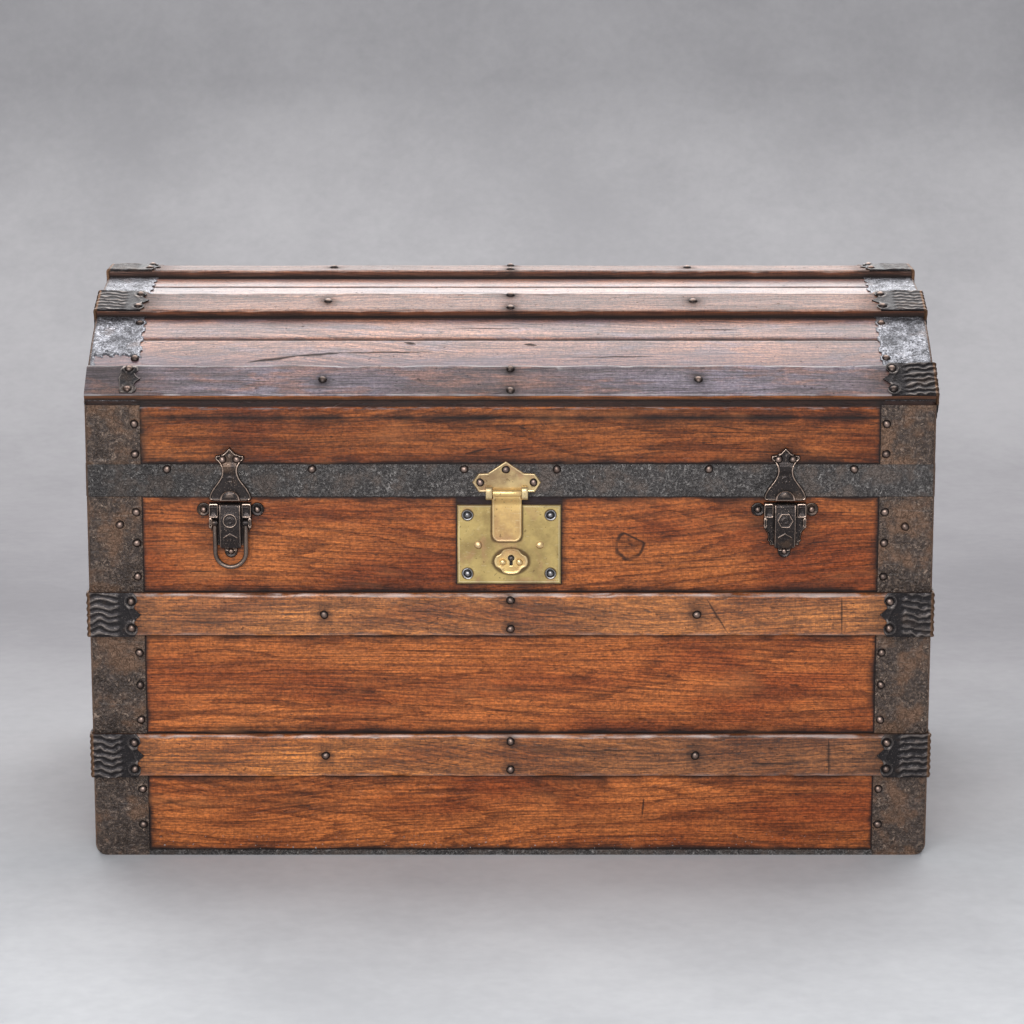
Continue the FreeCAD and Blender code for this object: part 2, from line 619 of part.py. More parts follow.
def dome_slats():
    """Slats along the dome, seated on the staves and rebated over the edge irons, with clamps and nails."""
    half = DOME_SLAT_W / 2
    seat_z = DOME_CENTRE_Z + math.sqrt(DOME_R ** 2 - half ** 2) - OVERCUT
    face_z = DOME_TOP_Z + SLAT_T
    reach = HALF_L + OVERCUT
    under = rod_x(-reach, reach, 0, DOME_CENTRE_Z, DOME_R)
    block = box(-SLAT_END, SLAT_END, -half, half, seat_z, face_z)
    slat = worn(block, SLAT_EDGE_R).cut(under)
    for end in (-1, 1):
        x_in = end * (HALF_L - EDGE_IRON_W)
        x_out = end * reach
        slat = slat.cut(rod_x(min(x_in, x_out), max(x_in, x_out), 0, DOME_CENTRE_Z, DOME_R + EDGE_IRON_T))
    clamp = moved(slat_clamp(DOME_SLAT_W), HALF_L, 0, DOME_TOP_Z)
    names = ("dome_slat_front", "dome_slat_front_upper", "dome_slat_top")
    clamps = []
    nails = []
    for name, degrees in zip(names, DOME_SLAT_ANGLES):
        write(name, on_dome(slat, degrees))
    write("dome_slats_back", *[on_dome(slat, d) for d in DOME_SLAT_ANGLES[len(names):]])
    first = DOME_SLAT_ANGLES[0]
    for degrees in DOME_SLAT_ANGLES:
        clamps.append(on_dome(clamp, degrees))
        if degrees != first:
            clamps.append(on_dome(mirrored_x(clamp), degrees))
        nails += [on_dome(n, degrees) for n in slat_nails(face_z, DOME_SLAT_SHANK)]
    write("dome_slat_clamps", *clamps, on_dome(clamp_remnant(face_z), first))
    return nails


def clamp_remnant(face_z):
    """The tongue that is left of a broken clamp, held by its two nails."""
    x = -(HALF_L - CLAMP_NAIL_INSET)
    half = DOME_SLAT_W / 2
    corners = [vec(x + along, half * across, face_z) for along, across in REMNANT]
    return Part.Face(Part.makePolygon(corners + corners[:1])).extrude(vec(0, 0, CLAMP_T))


def lid_irons():
    """Edge irons, the four corner irons of the lid, the band round its lower edge, and all their nails."""
    left = edge_iron()
    write("dome_edge_iron_left", left)
    write("dome_edge_iron_right", mirrored_x(left))
    shell = envelope(0, BAND_TOP_Z, LID_IRON_TOP_Z).cut(envelope(IRON_T, BAND_TOP_Z, LID_IRON_TOP_Z))
    corner = shell.common(
        box(-HALF_L, -HALF_L + IRON_W, -HALF_D, -HALF_D + IRON_W, BAND_TOP_Z, LID_IRON_TOP_Z))
    clear = dome_shell(
        DOME_R - EDGE_FLANGE, DOME_R + SLAT_T, -HALF_L - OVERCUT, -WOOD_L, -DOME_HALF_DEG, DOME_HALF_DEG)
    corner = corner.cut(clear)
    corner = max(corner.Solids, key=lambda s: s.Volume)
    pair = [corner, mirrored_x(corner)]
    write("lid_corner_irons", *pair, *[mirrored_y(c) for c in pair])
    outer = envelope(IRON_T - BAND_T, LID_Z, BAND_TOP_Z)
    band = outer.cut(envelope(IRON_T, LID_Z, BAND_TOP_Z))
    for side in (-1, 1):
        x = side * HINGE_X
        notch_top = HINGE_Z + KNUCKLE_R + 2 * KNUCKLE_GAP
        half = HINGE_W / 2 + KNUCKLE_GAP
        band = band.cut(box(
            x - half, x + half, WOOD_D - OVERCUT, WOOD_D + BAND_T + OVERCUT, LID_Z - OVERCUT, notch_top))
    write("lid_band", band)


def lid_nails(dome_nails):
    """Nails of the lid: band, corner irons, edge irons, and those of the dome's slats."""
    made = []
    shank = IRON_T + NAIL_BITE
    band_z = LID_Z + BAND_NAIL_RISE
    for x in BAND_NAIL_X:
        for side in (-1, 1):
            made.append(nail(vec(side * x, FRONT_Y - BAND_T, band_z), -Y_AXIS, shank))
    x_corner = HALF_L - IRON_W + CORNER_NAIL_INSET
    y_corner = HALF_D - IRON_W + CORNER_NAIL_INSET
    sides = []
    for z in LID_NAIL_HEIGHTS:
        made += [nail(vec(side * x_corner, -HALF_D, z), -Y_AXIS, shank) for side in (-1, 1)]
    sides.append(nail(vec(HALF_L, -y_corner, LID_NAIL_HEIGHTS[0]), X_AXIS, shank))
    sides.append(nail(vec(WOOD_L + BAND_T, -BAND_END_NAIL_Y, band_z), X_AXIS, shank))
    made = made + sides + [mirrored_x(n) for n in sides]
    made = made + [mirrored_y(n) for n in made]
    top = DOME_TOP_Z + EDGE_IRON_T
    x = HALF_L - EDGE_IRON_W + EDGE_NAIL_INSET
    middle = len(DOME_SLAT_ANGLES) // 2
    for slat, off in EDGE_NAILS:
        degrees = DOME_SLAT_ANGLES[middle + slat] + off
        for side in (-1, 1):
            one = on_dome(nail(vec(x, 0, top), Z_AXIS, EDGE_IRON_T + STAVE_T - NAIL_SHORT), side * degrees)
            made += [one, mirrored_x(one)]
    down = DOME_TOP_Z - EDGE_FLANGE + FLANGE_NAIL_INSET
    for degrees in FLANGE_NAIL_ANGLES:
        one = on_dome(nail(vec(HALF_L, 0, down), X_AXIS, shank), degrees)
        made += [one, mirrored_x(one)]
    write("lid_nails", *made)
    write("dome_slat_nails", *dome_nails)


# ------------------------------------------------------------------------------------------ hinges
def hinges():
    """Two butt hinges with a stop lug on the lid's knuckle that meets the body leaf when the lid is open."""
    third = HINGE_W / 3
    body_leaves = []
    lid_leaves = []
    pins = []
    for side in (-1, 1):
        x0 = side * HINGE_X - HINGE_W / 2
        x1 = side * HINGE_X + HINGE_W / 2
        bore = rod_x(x0, x1, HINGE_Y, HINGE_Z, HINGE_PIN_R + PIN_FIT)
        plate = box(x0, x1, WOOD_D, WOOD_D + LEAF_T, HINGE_Z - HINGE_LEAF_H, HINGE_Z)
        outer_a = rod_x(x0, x0 + third, HINGE_Y, HINGE_Z, KNUCKLE_R)
        outer_b = rod_x(x1 - third, x1, HINGE_Y, HINGE_Z, KNUCKLE_R)
        middle_room = rod_x(
            x0 + third, x1 - third, HINGE_Y, HINGE_Z, KNUCKLE_R + KNUCKLE_GAP)
        stop_room = box(x0 + third, x1 - third, WOOD_D, WOOD_D + LEAF_T, HINGE_Z - KNUCKLE_R, HINGE_Z)
        leaf = fused([plate.cut(middle_room).cut(stop_room), outer_a, outer_b]).cut(bore)
        body_leaves.append(leaf)
        lid_face = WOOD_D + BAND_T
        lid_plate = box(x0, x1, lid_face, lid_face + LEAF_T, HINGE_Z, HINGE_Z + HINGE_LID_LEAF_H)
        for a, b in ((x0, x0 + third + KNUCKLE_GAP), (x1 - third - KNUCKLE_GAP, x1)):
            lid_plate = lid_plate.cut(rod_x(a, b, HINGE_Y, HINGE_Z, KNUCKLE_R + KNUCKLE_GAP))
            lid_plate = lid_plate.cut(box(a, b, lid_face, lid_face + LEAF_T, HINGE_Z, HINGE_Z + KNUCKLE_R))
        middle = rod_x(x0 + third + KNUCKLE_GAP, x1 - third - KNUCKLE_GAP, HINGE_Y, HINGE_Z, KNUCKLE_R)
        stop_y = WOOD_D + LEAF_T + 2 * KNUCKLE_GAP
        lug = box(
            x0 + third + KNUCKLE_GAP, x1 - third - KNUCKLE_GAP, stop_y, stop_y + STOP_LUG_T,
            HINGE_Z - STOP_LUG_L, HINGE_Z)
        lug = turned(lug, X_AXIS, vec(0, HINGE_Y, HINGE_Z), LID_OPEN_DEG)
        lid_leaves.append(fused([lid_plate, middle, lug]).cut(bore))
        pins.append(rod_x(x0, x1, HINGE_Y, HINGE_Z, HINGE_PIN_R))
    write("hinge_body_leaves", *body_leaves)
    write("hinge_lid_leaves", *lid_leaves)
    write("hinge_pins", *pins)


# ----------------------------------------------------------------------------------- lock and hasp
HASP_PIN_Y = FRONT_Y - BAND_T - HASP_BARREL_R - HASP_FIT
STAPLE_Y = FRONT_Y + STAPLE_REACH
STAPLE_BOTTOM_Z = STAPLE_CENTRE_Z - STAPLE_H / 2
STAPLE_TOP_Z = STAPLE_CENTRE_Z + STAPLE_H / 2
STAPLE_SWING = math.hypot(STAPLE_Y - HASP_PIN_Y, HASP_PIN_Z - STAPLE_BOTTOM_Z)
SLOT_BOTTOM_Z = HASP_PIN_Z - STAPLE_SWING - STAPLE_SWING_CLEAR
SLOT_HALF = STAPLE_T / 2 + STAPLE_SLOT_CLEAR
CASE_TOP_Z = LOCK_TOP_Z - CASE_DROP
CASE_BOTTOM_Z = CASE_TOP_Z - CASE_H
BOLT_NOSE_X = HASP_X + STAPLE_T / 2 + BOLT_REST_GAP
BOLT_Y0 = FRONT_Y + (STAPLE_REACH - STAPLE_WALL - BOLT_T) / 2
LOCK_BOTTOM_Z = LOCK_TOP_Z - LOCK_H


def keyhole(y0, y1):
    """Round hole with a slot below it, cut from y0 to y1."""
    half = KEYHOLE_SLOT_W / 2
    x = ESCUTCHEON_X
    return fused([
        rod_y(y0, y1, x, KEYHOLE_Z, KEYHOLE_R),
        box(x - half, x + half, y0, y1, KEYHOLE_SLOT_END + half, KEYHOLE_Z),
        rod_y(y0, y1, x, KEYHOLE_SLOT_END + half, half),
    ])


def mortise():
    """Room cut in the front boards for the lock case, and the groove the staple is lifted out through."""
    half = CASE_W / 2 + CASE_FIT
    room = box(
        LOCK_X - half, LOCK_X + half, FRONT_Y - OVERCUT, FRONT_Y + CASE_DEPTH + CASE_FIT,
        CASE_BOTTOM_Z - CASE_FIT, CASE_TOP_Z + CASE_FIT)
    groove = box(
        HASP_X - SLOT_HALF, HASP_X + SLOT_HALF, FRONT_Y - OVERCUT, STAPLE_Y + STAPLE_SLOT_CLEAR,
        CASE_TOP_Z, SEAM_Z + OVERCUT)
    return room.fuse(groove)


def staple_slot(y0, y1):
    """The slot, open at the top, that the hasp's staple swings in and out of."""
    return box(HASP_X - SLOT_HALF, HASP_X + SLOT_HALF, y0, y1, SLOT_BOTTOM_Z, SEAM_Z + OVERCUT)


def lock():
    """Face plate, case with its key post, spring, escutcheon, screws and rivets, and the sliding bolt."""
    plate_y = FRONT_Y - LOCK_T
    plate = box(LOCK_X - LOCK_W / 2, LOCK_X + LOCK_W / 2, plate_y, FRONT_Y, LOCK_BOTTOM_Z, LOCK_TOP_Z)
    plate = plate.cut(staple_slot(plate_y - OVERCUT, FRONT_Y + OVERCUT))
    plate = plate.cut(keyhole(plate_y - OVERCUT, FRONT_Y + OVERCUT))
    write("lock_plate", plate)
    x0 = LOCK_X - CASE_W / 2
    x1 = LOCK_X + CASE_W / 2
    back_y = FRONT_Y + CASE_DEPTH
    case = box(x0, x1, FRONT_Y, back_y, CASE_BOTTOM_Z, CASE_TOP_Z)
    case = case.cut(box(
        x0 + CASE_WALL, x1 - CASE_WALL, FRONT_Y - OVERCUT, back_y - CASE_WALL,
        CASE_BOTTOM_Z + CASE_WALL, CASE_TOP_Z - CASE_WALL))
    case = case.cut(staple_slot(FRONT_Y - OVERCUT, back_y - CASE_WALL))
    post = rod_y(plate_y, back_y - CASE_WALL, ESCUTCHEON_X, KEYHOLE_Z, KEY_POST_R)
    low_z = STAPLE_CENTRE_Z - BOLT_H / 2 - BOLT_FIT
    top_z = STAPLE_CENTRE_Z + BOLT_H / 2 + BOLT_FIT
    rails = []
    rail_x = x1 - CASE_WALL
    for z0 in (low_z - CASE_WALL, top_z + SPRING_T):
        rails.append(box(
            rail_x - RAIL_L, rail_x, FRONT_Y + RAIL_INSET, back_y - CASE_WALL, z0, z0 + CASE_WALL))
    write("lock_case", fused([case, post] + rails))
    spring = box(
        BOLT_NOSE_X + SPRING_INSET, x1 - CASE_WALL, BOLT_Y0, BOLT_Y0 + BOLT_T, top_z, top_z + SPRING_T)
    write("lock_spring", spring)
    bolt_z = STAPLE_CENTRE_Z
    bolt_y1 = BOLT_Y0 + BOLT_T
    bar = box(BOLT_NOSE_X, BOLT_NOSE_X + BOLT_L, BOLT_Y0, bolt_y1, bolt_z - BOLT_H / 2, bolt_z + BOLT_H / 2)
    tail_x = BOLT_NOSE_X + BOLT_TAIL_X
    tail = box(tail_x, tail_x + BOLT_TAIL_W, bolt_y1 - BOLT_TAIL_T, bolt_y1, bolt_z - BOLT_TAIL_L, bolt_z)
    write("lock_bolt", fused([bar, tail]))
    write("lock_escutcheon", escutcheon(plate_y))
    screws = []
    for side in (-1, 1):
        for up in (-1, 1):
            x = LOCK_X + side * (LOCK_W / 2 - LOCK_SCREW_INSET)
            z = (LOCK_TOP_Z + LOCK_BOTTOM_Z) / 2 + up * (LOCK_H / 2 - LOCK_SCREW_INSET)
            screws.append(nail(vec(x, plate_y, z), -Y_AXIS, LOCK_T + NAIL_BITE, SCREW_HEAD_R, SCREW_HEAD_H))
    write("lock_screws", *screws)
    rivets = []
    for side in (-1, 1):
        rivets.append(nail(
            vec(LOCK_X + side * LOCK_RIVET_X, plate_y, LOCK_RIVET_Z), -Y_AXIS, LOCK_T, RIVET_R, RIVET_H))
        x = ESCUTCHEON_X + side * ESCUTCHEON_RIVET_X
        rivets.append(nail(
            vec(x, plate_y - ESCUTCHEON_T, ESCUTCHEON_RIVET_Z), -Y_AXIS,
            ESCUTCHEON_T + LOCK_T, ESCUTCHEON_RIVET_R, RIVET_H))
    write("lock_rivets", *rivets)


def escutcheon(plate_y):
    """Scalloped keyhole plate: a flat with sloping shoulders and rounded ears at both sides."""
    half_w = ESCUTCHEON_W / 2
    half_h = ESCUTCHEON_H / 2
    quarter = [(half_w * across, half_h * up) for across, up in ESCUTCHEON_QUARTER]
    top = quarter + [(-x, z) for x, z in reversed(quarter)]
    low = [(x, -z) for x, z in reversed(top)][1:-1]
    points = [(ESCUTCHEON_X + x, ESCUTCHEON_Z + z) for x, z in top + low]
    plate = plate_xz(points, plate_y - ESCUTCHEON_T, plate_y)
    return plate.cut(keyhole(plate_y - ESCUTCHEON_T - OVERCUT, plate_y + OVERCUT))


def hasp():
    """Hasp plate with two lugs on the lid, the pin through them, and the hanging hasp with its staple."""
    back_y = FRONT_Y - BAND_T
    face_y = back_y - HASP_PLATE_T
    plate = plate_xz([(HASP_X + x, HASP_PIN_Z + z) for x, z in HASP_PLATE_OUTLINE], face_y, back_y)
    inner = HASP_HALF_W + HASP_FIT
    lugs = []
    for side in (-1, 1):
        x = HASP_X + side * (inner + HASP_LUG_W / 2)
        x0 = x - HASP_LUG_W / 2
        x1 = x + HASP_LUG_W / 2
        y0 = HASP_PIN_Y - HASP_BARREL_R
        y1 = HASP_PIN_Y + HASP_BARREL_R
        lugs.append(fused([
            rod_x(x0, x1, HASP_PIN_Y, HASP_PIN_Z + HASP_LUG_RISE, HASP_BARREL_R),
            rod_x(x0, x1, HASP_PIN_Y, HASP_PIN_Z - HASP_LUG_RISE, HASP_BARREL_R),
            box(x0, x1, y0, y1, HASP_PIN_Z - HASP_LUG_RISE, HASP_PIN_Z + HASP_LUG_RISE),
            box(x0, x1, HASP_PIN_Y, back_y, HASP_PIN_Z, HASP_PIN_Z + HASP_LUG_ROOT),
        ]))
    x0 = HASP_X - inner - HASP_LUG_W
    x1 = HASP_X + inner + HASP_LUG_W
    plate = fused([plate] + lugs)
    plate = plate.cut(rod_x(x0, x1, HASP_PIN_Y, HASP_PIN_Z, HASP_PIN_R + PIN_FIT))
    plate = plate.cut(rod_x(HASP_X - inner, HASP_X + inner, HASP_PIN_Y, HASP_PIN_Z, HASP_BARREL_R + HASP_FIT))
    write("hasp_plate", plate)
    write("hasp_pin", rod_x(x0, x1, HASP_PIN_Y, HASP_PIN_Z, HASP_PIN_R))
    write("hasp", hasp_leaf())


def hasp_leaf():
    """The leaf hangs from its barrel close in front of the lock plate; the staple stands on its back."""
    back_y = FRONT_Y - LOCK_T - HASP_PLATE_CLEAR
    face_y = back_y - HASP_T
    half = HASP_HALF_W
    cut = HASP_CORNER
    near = HASP_CORNER * HASP_CORNER_SHARE
    right = [(half - cut, 0.0), (half - near, near), (half, cut), (half, HASP_PIN_Z - HASP_BOTTOM_Z)]
    outline = right + [(-x, z) for x, z in reversed(right)]
    leaf = plate_xz([(HASP_X + x, HASP_BOTTOM_Z + z) for x, z in outline], face_y, back_y)
    barrel = rod_x(HASP_X - half, HASP_X + half, HASP_PIN_Y, HASP_PIN_Z, HASP_BARREL_R)
    eye_y = FRONT_Y + STAPLE_REACH - STAPLE_WALL
    staple = box(
        HASP_X - STAPLE_T / 2, HASP_X + STAPLE_T / 2, back_y, STAPLE_Y, STAPLE_BOTTOM_Z, STAPLE_TOP_Z)
    eye = box(
        HASP_X - STAPLE_T, HASP_X + STAPLE_T, FRONT_Y, eye_y,
        STAPLE_BOTTOM_Z + STAPLE_WALL, STAPLE_TOP_Z - STAPLE_WALL)
    whole = fused([leaf, barrel, staple.cut(eye)])
    return whole.cut(rod_x(HASP_X - half, HASP_X + half, HASP_PIN_Y, HASP_PIN_Z, HASP_PIN_R + PIN_FIT))


# -------------------------------------------------------------------------------- drawbolt catches
def catch_plate(x):
    """Bell-shaped plate on the lid: two lobes and a point above a narrow neck, a half-round lug below."""
    back_y = FRONT_Y - BAND_T
    face_y = back_y - CATCH_PLATE_T
    right = list(CATCH_PLATE_HALF)
    left = [(-across, up) for across, up in reversed(right[1:])]
    plate = plate_xz([(x + across, CATCH_FOOT_Z + up) for across, up in right + left], face_y, back_y)
    lug = rod_y(FRONT_Y - LUG_REACH, back_y, x, LUG_FOOT_Z, LUG_R)
    lug = lug.common(box(x - LUG_R, x + LUG_R, FRONT_Y - LUG_REACH, back_y, LUG_FOOT_Z, LUG_FOOT_Z + LUG_R))
    return fused([plate, lug])


def catch_base(x, with_bail):
    """Cast base on the body: flat plate with two ears and a tab, and cheeks that carry the lever's pin."""
    back_y = FRONT_Y
    face_y = FRONT_Y - BASE_T
    right = [(BASE_HALF, BASE_TOP_Z), (BASE_HALF, BAIL_CHEEK_BOTTOM_Z)]
    right += [(across, BASE_TOP_Z - down) for across, down in BASE_TAPER]
    right.append((TAB_R, TAB_Z))
    left = [(-across, z) for across, z in reversed(right)]
    shapes = [plate_xz([(x + across, z) for across, z in right + left], face_y, back_y)]
    shapes.append(rod_y(face_y, back_y, x, TAB_Z, TAB_R))
    cheek_y = FRONT_Y - CHEEK_REACH
    for side in (-1, 1):
        shapes.append(rod_y(face_y, back_y, x + side * EAR_X, EAR_Z, EAR_R))
        a = x + side * CHEEK_INNER
        b = x + side * BASE_HALF
        shapes.append(box(min(a, b), max(a, b), cheek_y, back_y, CHEEK_BOTTOM_Z, BASE_TOP_Z))
        c = x + side * BAIL_CHEEK_INNER
        shapes.append(box(
            min(b, c), max(b, c), FRONT_Y - BAIL_CHEEK_REACH, back_y, BAIL_CHEEK_BOTTOM_Z, CHEEK_BOTTOM_Z))
    base = fused(shapes)
    pin_y = FRONT_Y - CATCH_PIN_Y
    reach = BASE_HALF + OVERCUT
    base = base.cut(rod_x(x - reach, x + reach, pin_y, LEVER_PIN_Z, LEVER_PIN_R + PIN_FIT))
    if with_bail:
        bail_y = FRONT_Y - BAIL_PIN_Y
        for side in (-1, 1):
            a = x + side * (BAIL_CHEEK_INNER - OVERCUT)
            b = x + side * reach
            base = base.cut(rod_x(min(a, b), max(a, b), bail_y, BAIL_PIN_Z, BAIL_PIN_R + PIN_FIT))
    return base


def catch_pins():
    """Cross pins of both levers, and the two stub pins that the left catch's bail turns on."""
    pins = []
    for x in CATCH_X:
        pins.append(rod_x(x - BASE_HALF, x + BASE_HALF, FRONT_Y - CATCH_PIN_Y, LEVER_PIN_Z, LEVER_PIN_R))
    x = CATCH_X[0]
    for side in (-1, 1):
        a = x + side * BASE_HALF
        b = x + side * BAIL_STUB_INNER
        pins.append(rod_x(min(a, b), max(a, b), FRONT_Y - BAIL_PIN_Y, BAIL_PIN_Z, BAIL_PIN_R))
    return pins


def catch_lever(x):
    """Pressed lever hanging from its barrel: it bows outward at the middle and comes in at its foot."""
    pin_y = FRONT_Y - CATCH_PIN_Y
    front = [(pin_y - LEVER_BARREL_R + inward, LEVER_PIN_Z - down) for inward, down in LEVER_PROFILE]
    back = [(y + LEVER_T, z) for y, z in reversed(front)]
    plate = plate_yz(front + back, x - LEVER_HALF, x + LEVER_HALF)
    barrel = rod_x(x - LEVER_HALF, x + LEVER_HALF, pin_y, LEVER_PIN_Z, LEVER_BARREL_R)
    bore = rod_x(x - LEVER_HALF, x + LEVER_HALF, pin_y, LEVER_PIN_Z, LEVER_PIN_R + PIN_FIT)
    return fused([plate, barrel]).cut(bore)


def catch_bail(x):
    """Wire bail: two arms hanging from eyes on the stub pins, joined by a half circle below the lever."""
    y = FRONT_Y - BAIL_PIN_Y
    arms = []
    for side in (-1, 1):
        arm = Part.makeCylinder(
            BAIL_WIRE_R, BAIL_PIN_Z - BAIL_ARC_Z, vec(x + side * BAIL_HALF, y, BAIL_ARC_Z), Z_AXIS)
        a = x + side * BAIL_EYE_INNER
        b = x + side * (BAIL_CHEEK_INNER - BAIL_FIT)
        arms.append(arm)
        arms.append(rod_x(min(a, b), max(a, b), y, BAIL_PIN_Z, BAIL_EYE_R))
    wire = Part.Face(Part.Wire(Part.makeCircle(BAIL_WIRE_R, vec(x + BAIL_HALF, y, BAIL_ARC_Z), Z_AXIS)))
    bow = wire.revolve(vec(x, y, BAIL_ARC_Z), Y_AXIS, 180)
    whole = fused(arms + [bow])
    reach = BAIL_HALF + BAIL_EYE_R
    return whole.cut(rod_x(x - reach, x + reach, y, BAIL_PIN_Z, BAIL_PIN_R + PIN_FIT))


def catches():
    """Both drawbolt catches: plates on the lid, bases, pins, levers and rivets, and the left one's bail."""
    for x, side in zip(CATCH_X, ("left", "right")):
        write("catch_plate_" + side, catch_plate(x))
        write("catch_base_" + side, catch_base(x, side == "left"))
        write("catch_lever_" + side, catch_lever(x))
    write("catch_pins", *catch_pins())
    write("catch_bail_left", catch_bail(CATCH_X[0]))
    body_rivets = []
    lid_rivets = []
    face_y = FRONT_Y - BAND_T - CATCH_PLATE_T
    for x in CATCH_X:
        for side in (-1, 1):
            body_rivets.append(nail(
                vec(x + side * EAR_X, FRONT_Y - BASE_T, EAR_Z), -Y_AXIS,
                BASE_T + NAIL_BITE, EAR_RIVET_R, EAR_RIVET_H))
            lid_rivets.append(nail(
                vec(x + side * CATCH_RIVET_X, face_y, CATCH_FOOT_Z + CATCH_RIVET_RISE), -Y_AXIS,
                BAND_T + CATCH_PLATE_T + NAIL_BITE, CATCH_RIVET_R, CATCH_RIVET_H))
        body_rivets.append(nail(
            vec(x, FRONT_Y - BASE_T, TAB_Z), -Y_AXIS, BASE_T + NAIL_BITE, TAB_RIVET_R, TAB_RIVET_H))
    write("catch_rivets", *body_rivets)
    plate_y = FRONT_Y - BAND_T - HASP_PLATE_T
    for x, z in HASP_PLATE_RIVETS:
        lid_rivets.append(nail(
            vec(HASP_X + x, plate_y, HASP_PIN_Z + z), -Y_AXIS,
            BAND_T + HASP_PLATE_T + NAIL_BITE, HASP_RIVET_R, HASP_RIVET_H))
    write("lid_hardware_rivets", *lid_rivets)


# ------------------------------------------------------------------------------------- end handles
def handle_strap():
    """Leather strap of the right-hand end: a bow hanging between two round tongues that turn in the caps."""
    x = WOOD_L + HANDLE_STANDOFF
    half = HANDLE_HALF_SPAN - HANDLE_END_GAP
    low = HANDLE_Z - HANDLE_SAG
    t = HANDLE_STRAP_T / 2
    shoulder = half - HANDLE_SHOULDER
    z0 = HANDLE_Z - t
    z1 = HANDLE_Z + t
    outer = Part.Arc(vec(x, -shoulder, z0), vec(x, 0, low - t), vec(x, shoulder, z0)).toShape()
    inner = Part.Arc(vec(x, shoulder, z1), vec(x, 0, low + t), vec(x, -shoulder, z1)).toShape()
    corners = [vec(x, shoulder, z0), vec(x, half, z0), vec(x, half, z1), vec(x, shoulder, z1)]
    others = [vec(p.x, -p.y, p.z) for p in reversed(corners)]
    edges = [outer] + [Part.makeLine(a, b) for a, b in zip(corners, corners[1:])]
    edges += [inner] + [Part.makeLine(a, b) for a, b in zip(others, others[1:])]
    face = Part.Face(Part.Wire(edges))
    band = face.extrude(vec(HANDLE_STRAP_W, 0, 0))
    band.translate(vec(-HANDLE_STRAP_W / 2, 0, 0))
    tongue = rod_y(-half - HANDLE_TONGUE_L, half + HANDLE_TONGUE_L, x, HANDLE_Z, HANDLE_TONGUE_R)
    root = half - HANDLE_TONGUE_LAP
    room = HANDLE_STRAP_W
    tongue = tongue.cut(box(x - room, x + room, -root, root, HANDLE_Z - room, HANDLE_Z + room))
    return fused([band, tongue])


def handle_cap():
    """Cast cap of the right-hand end: a flange on the boards and a hollow nose for the strap's tongue."""
    y0 = HANDLE_HALF_SPAN
    y1 = HANDLE_HALF_SPAN + CAP_L
    flange_h = CAP_H + 2 * CAP_EAR
    flange = box(WOOD_L, WOOD_L + CAP_PLATE_T, y0, y1, HANDLE_Z - flange_h / 2, HANDLE_Z + flange_h / 2)
    nose_h = 2 * (HANDLE_TONGUE_R + CAP_WALL)
    nose = box(WOOD_L, WOOD_L + HANDLE_STANDOFF, y0, y1, HANDLE_Z - nose_h / 2, HANDLE_Z + nose_h / 2)
    round_nose = rod_y(y0, y1, WOOD_L + HANDLE_STANDOFF, HANDLE_Z, nose_h / 2)
    deep = y0 + HANDLE_TONGUE_L
    bore = rod_y(y0 - OVERCUT, deep, WOOD_L + HANDLE_STANDOFF, HANDLE_Z, HANDLE_TONGUE_R + PIN_FIT)
    return fused([flange, nose, round_nose]).cut(bore)


def handles():
    """Caps and straps at both ends."""
    cap = handle_cap()
    pair = [cap, mirrored_y(cap)]
    strap = handle_strap()
    write("handle_caps_right", *pair)
    write("handle_caps_left", *[mirrored_x(c) for c in pair])
    write("handle_strap_right", strap)
    write("handle_strap_left", mirrored_x(strap))


# ------------------------------------------------------------------------------------------- build
boards = body_boards()
boards["front_boards"] = [b.cut(mortise()) for b in boards["front_boards"]]
for node_name, node_solids in boards.items():
    write(node_name, *node_solids)
iron = corner_iron()
write("corner_iron_front_left", iron)
write("corner_iron_front_right", mirrored_x(iron))
write("corner_irons_back", mirrored_y(iron), mirrored_y(mirrored_x(iron)))
write("bottom_edge_iron", *bottom_edge_iron())
body_slats()
body_nails()
lid_boards()
lid_irons()
lid_nails(dome_slats())
hinges()
lock()
hasp()
catches()
handles()
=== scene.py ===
# %% [markdown]
# # A dome top trunk
# The trunk's construction comes from its CAD model: boards, irons, hinges, lock and catches lie in place
# before this script adds anything. This script gives every surface its finish, and makes again, in finer
# mesh, the pieces whose look depends on their relief: worn slats, reeded clamps, embossed sheets, nail heads
# and castings.

# %% The frame
import math
import bmesh
import bpy
import numpy as np
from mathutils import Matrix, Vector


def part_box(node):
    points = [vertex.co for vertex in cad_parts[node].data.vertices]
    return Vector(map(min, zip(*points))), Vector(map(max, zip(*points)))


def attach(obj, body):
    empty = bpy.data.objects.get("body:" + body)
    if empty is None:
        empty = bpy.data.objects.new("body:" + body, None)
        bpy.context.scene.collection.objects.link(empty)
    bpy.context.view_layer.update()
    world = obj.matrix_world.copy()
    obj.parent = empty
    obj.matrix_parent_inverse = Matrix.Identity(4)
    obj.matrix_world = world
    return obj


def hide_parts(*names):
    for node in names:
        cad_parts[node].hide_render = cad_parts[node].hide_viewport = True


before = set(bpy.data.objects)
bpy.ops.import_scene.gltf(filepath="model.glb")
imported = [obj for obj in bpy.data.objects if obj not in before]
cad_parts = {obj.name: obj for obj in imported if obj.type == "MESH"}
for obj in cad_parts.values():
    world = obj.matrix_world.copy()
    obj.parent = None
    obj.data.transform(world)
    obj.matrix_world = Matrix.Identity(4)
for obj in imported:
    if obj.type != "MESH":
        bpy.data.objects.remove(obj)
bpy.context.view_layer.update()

MM = 0.001

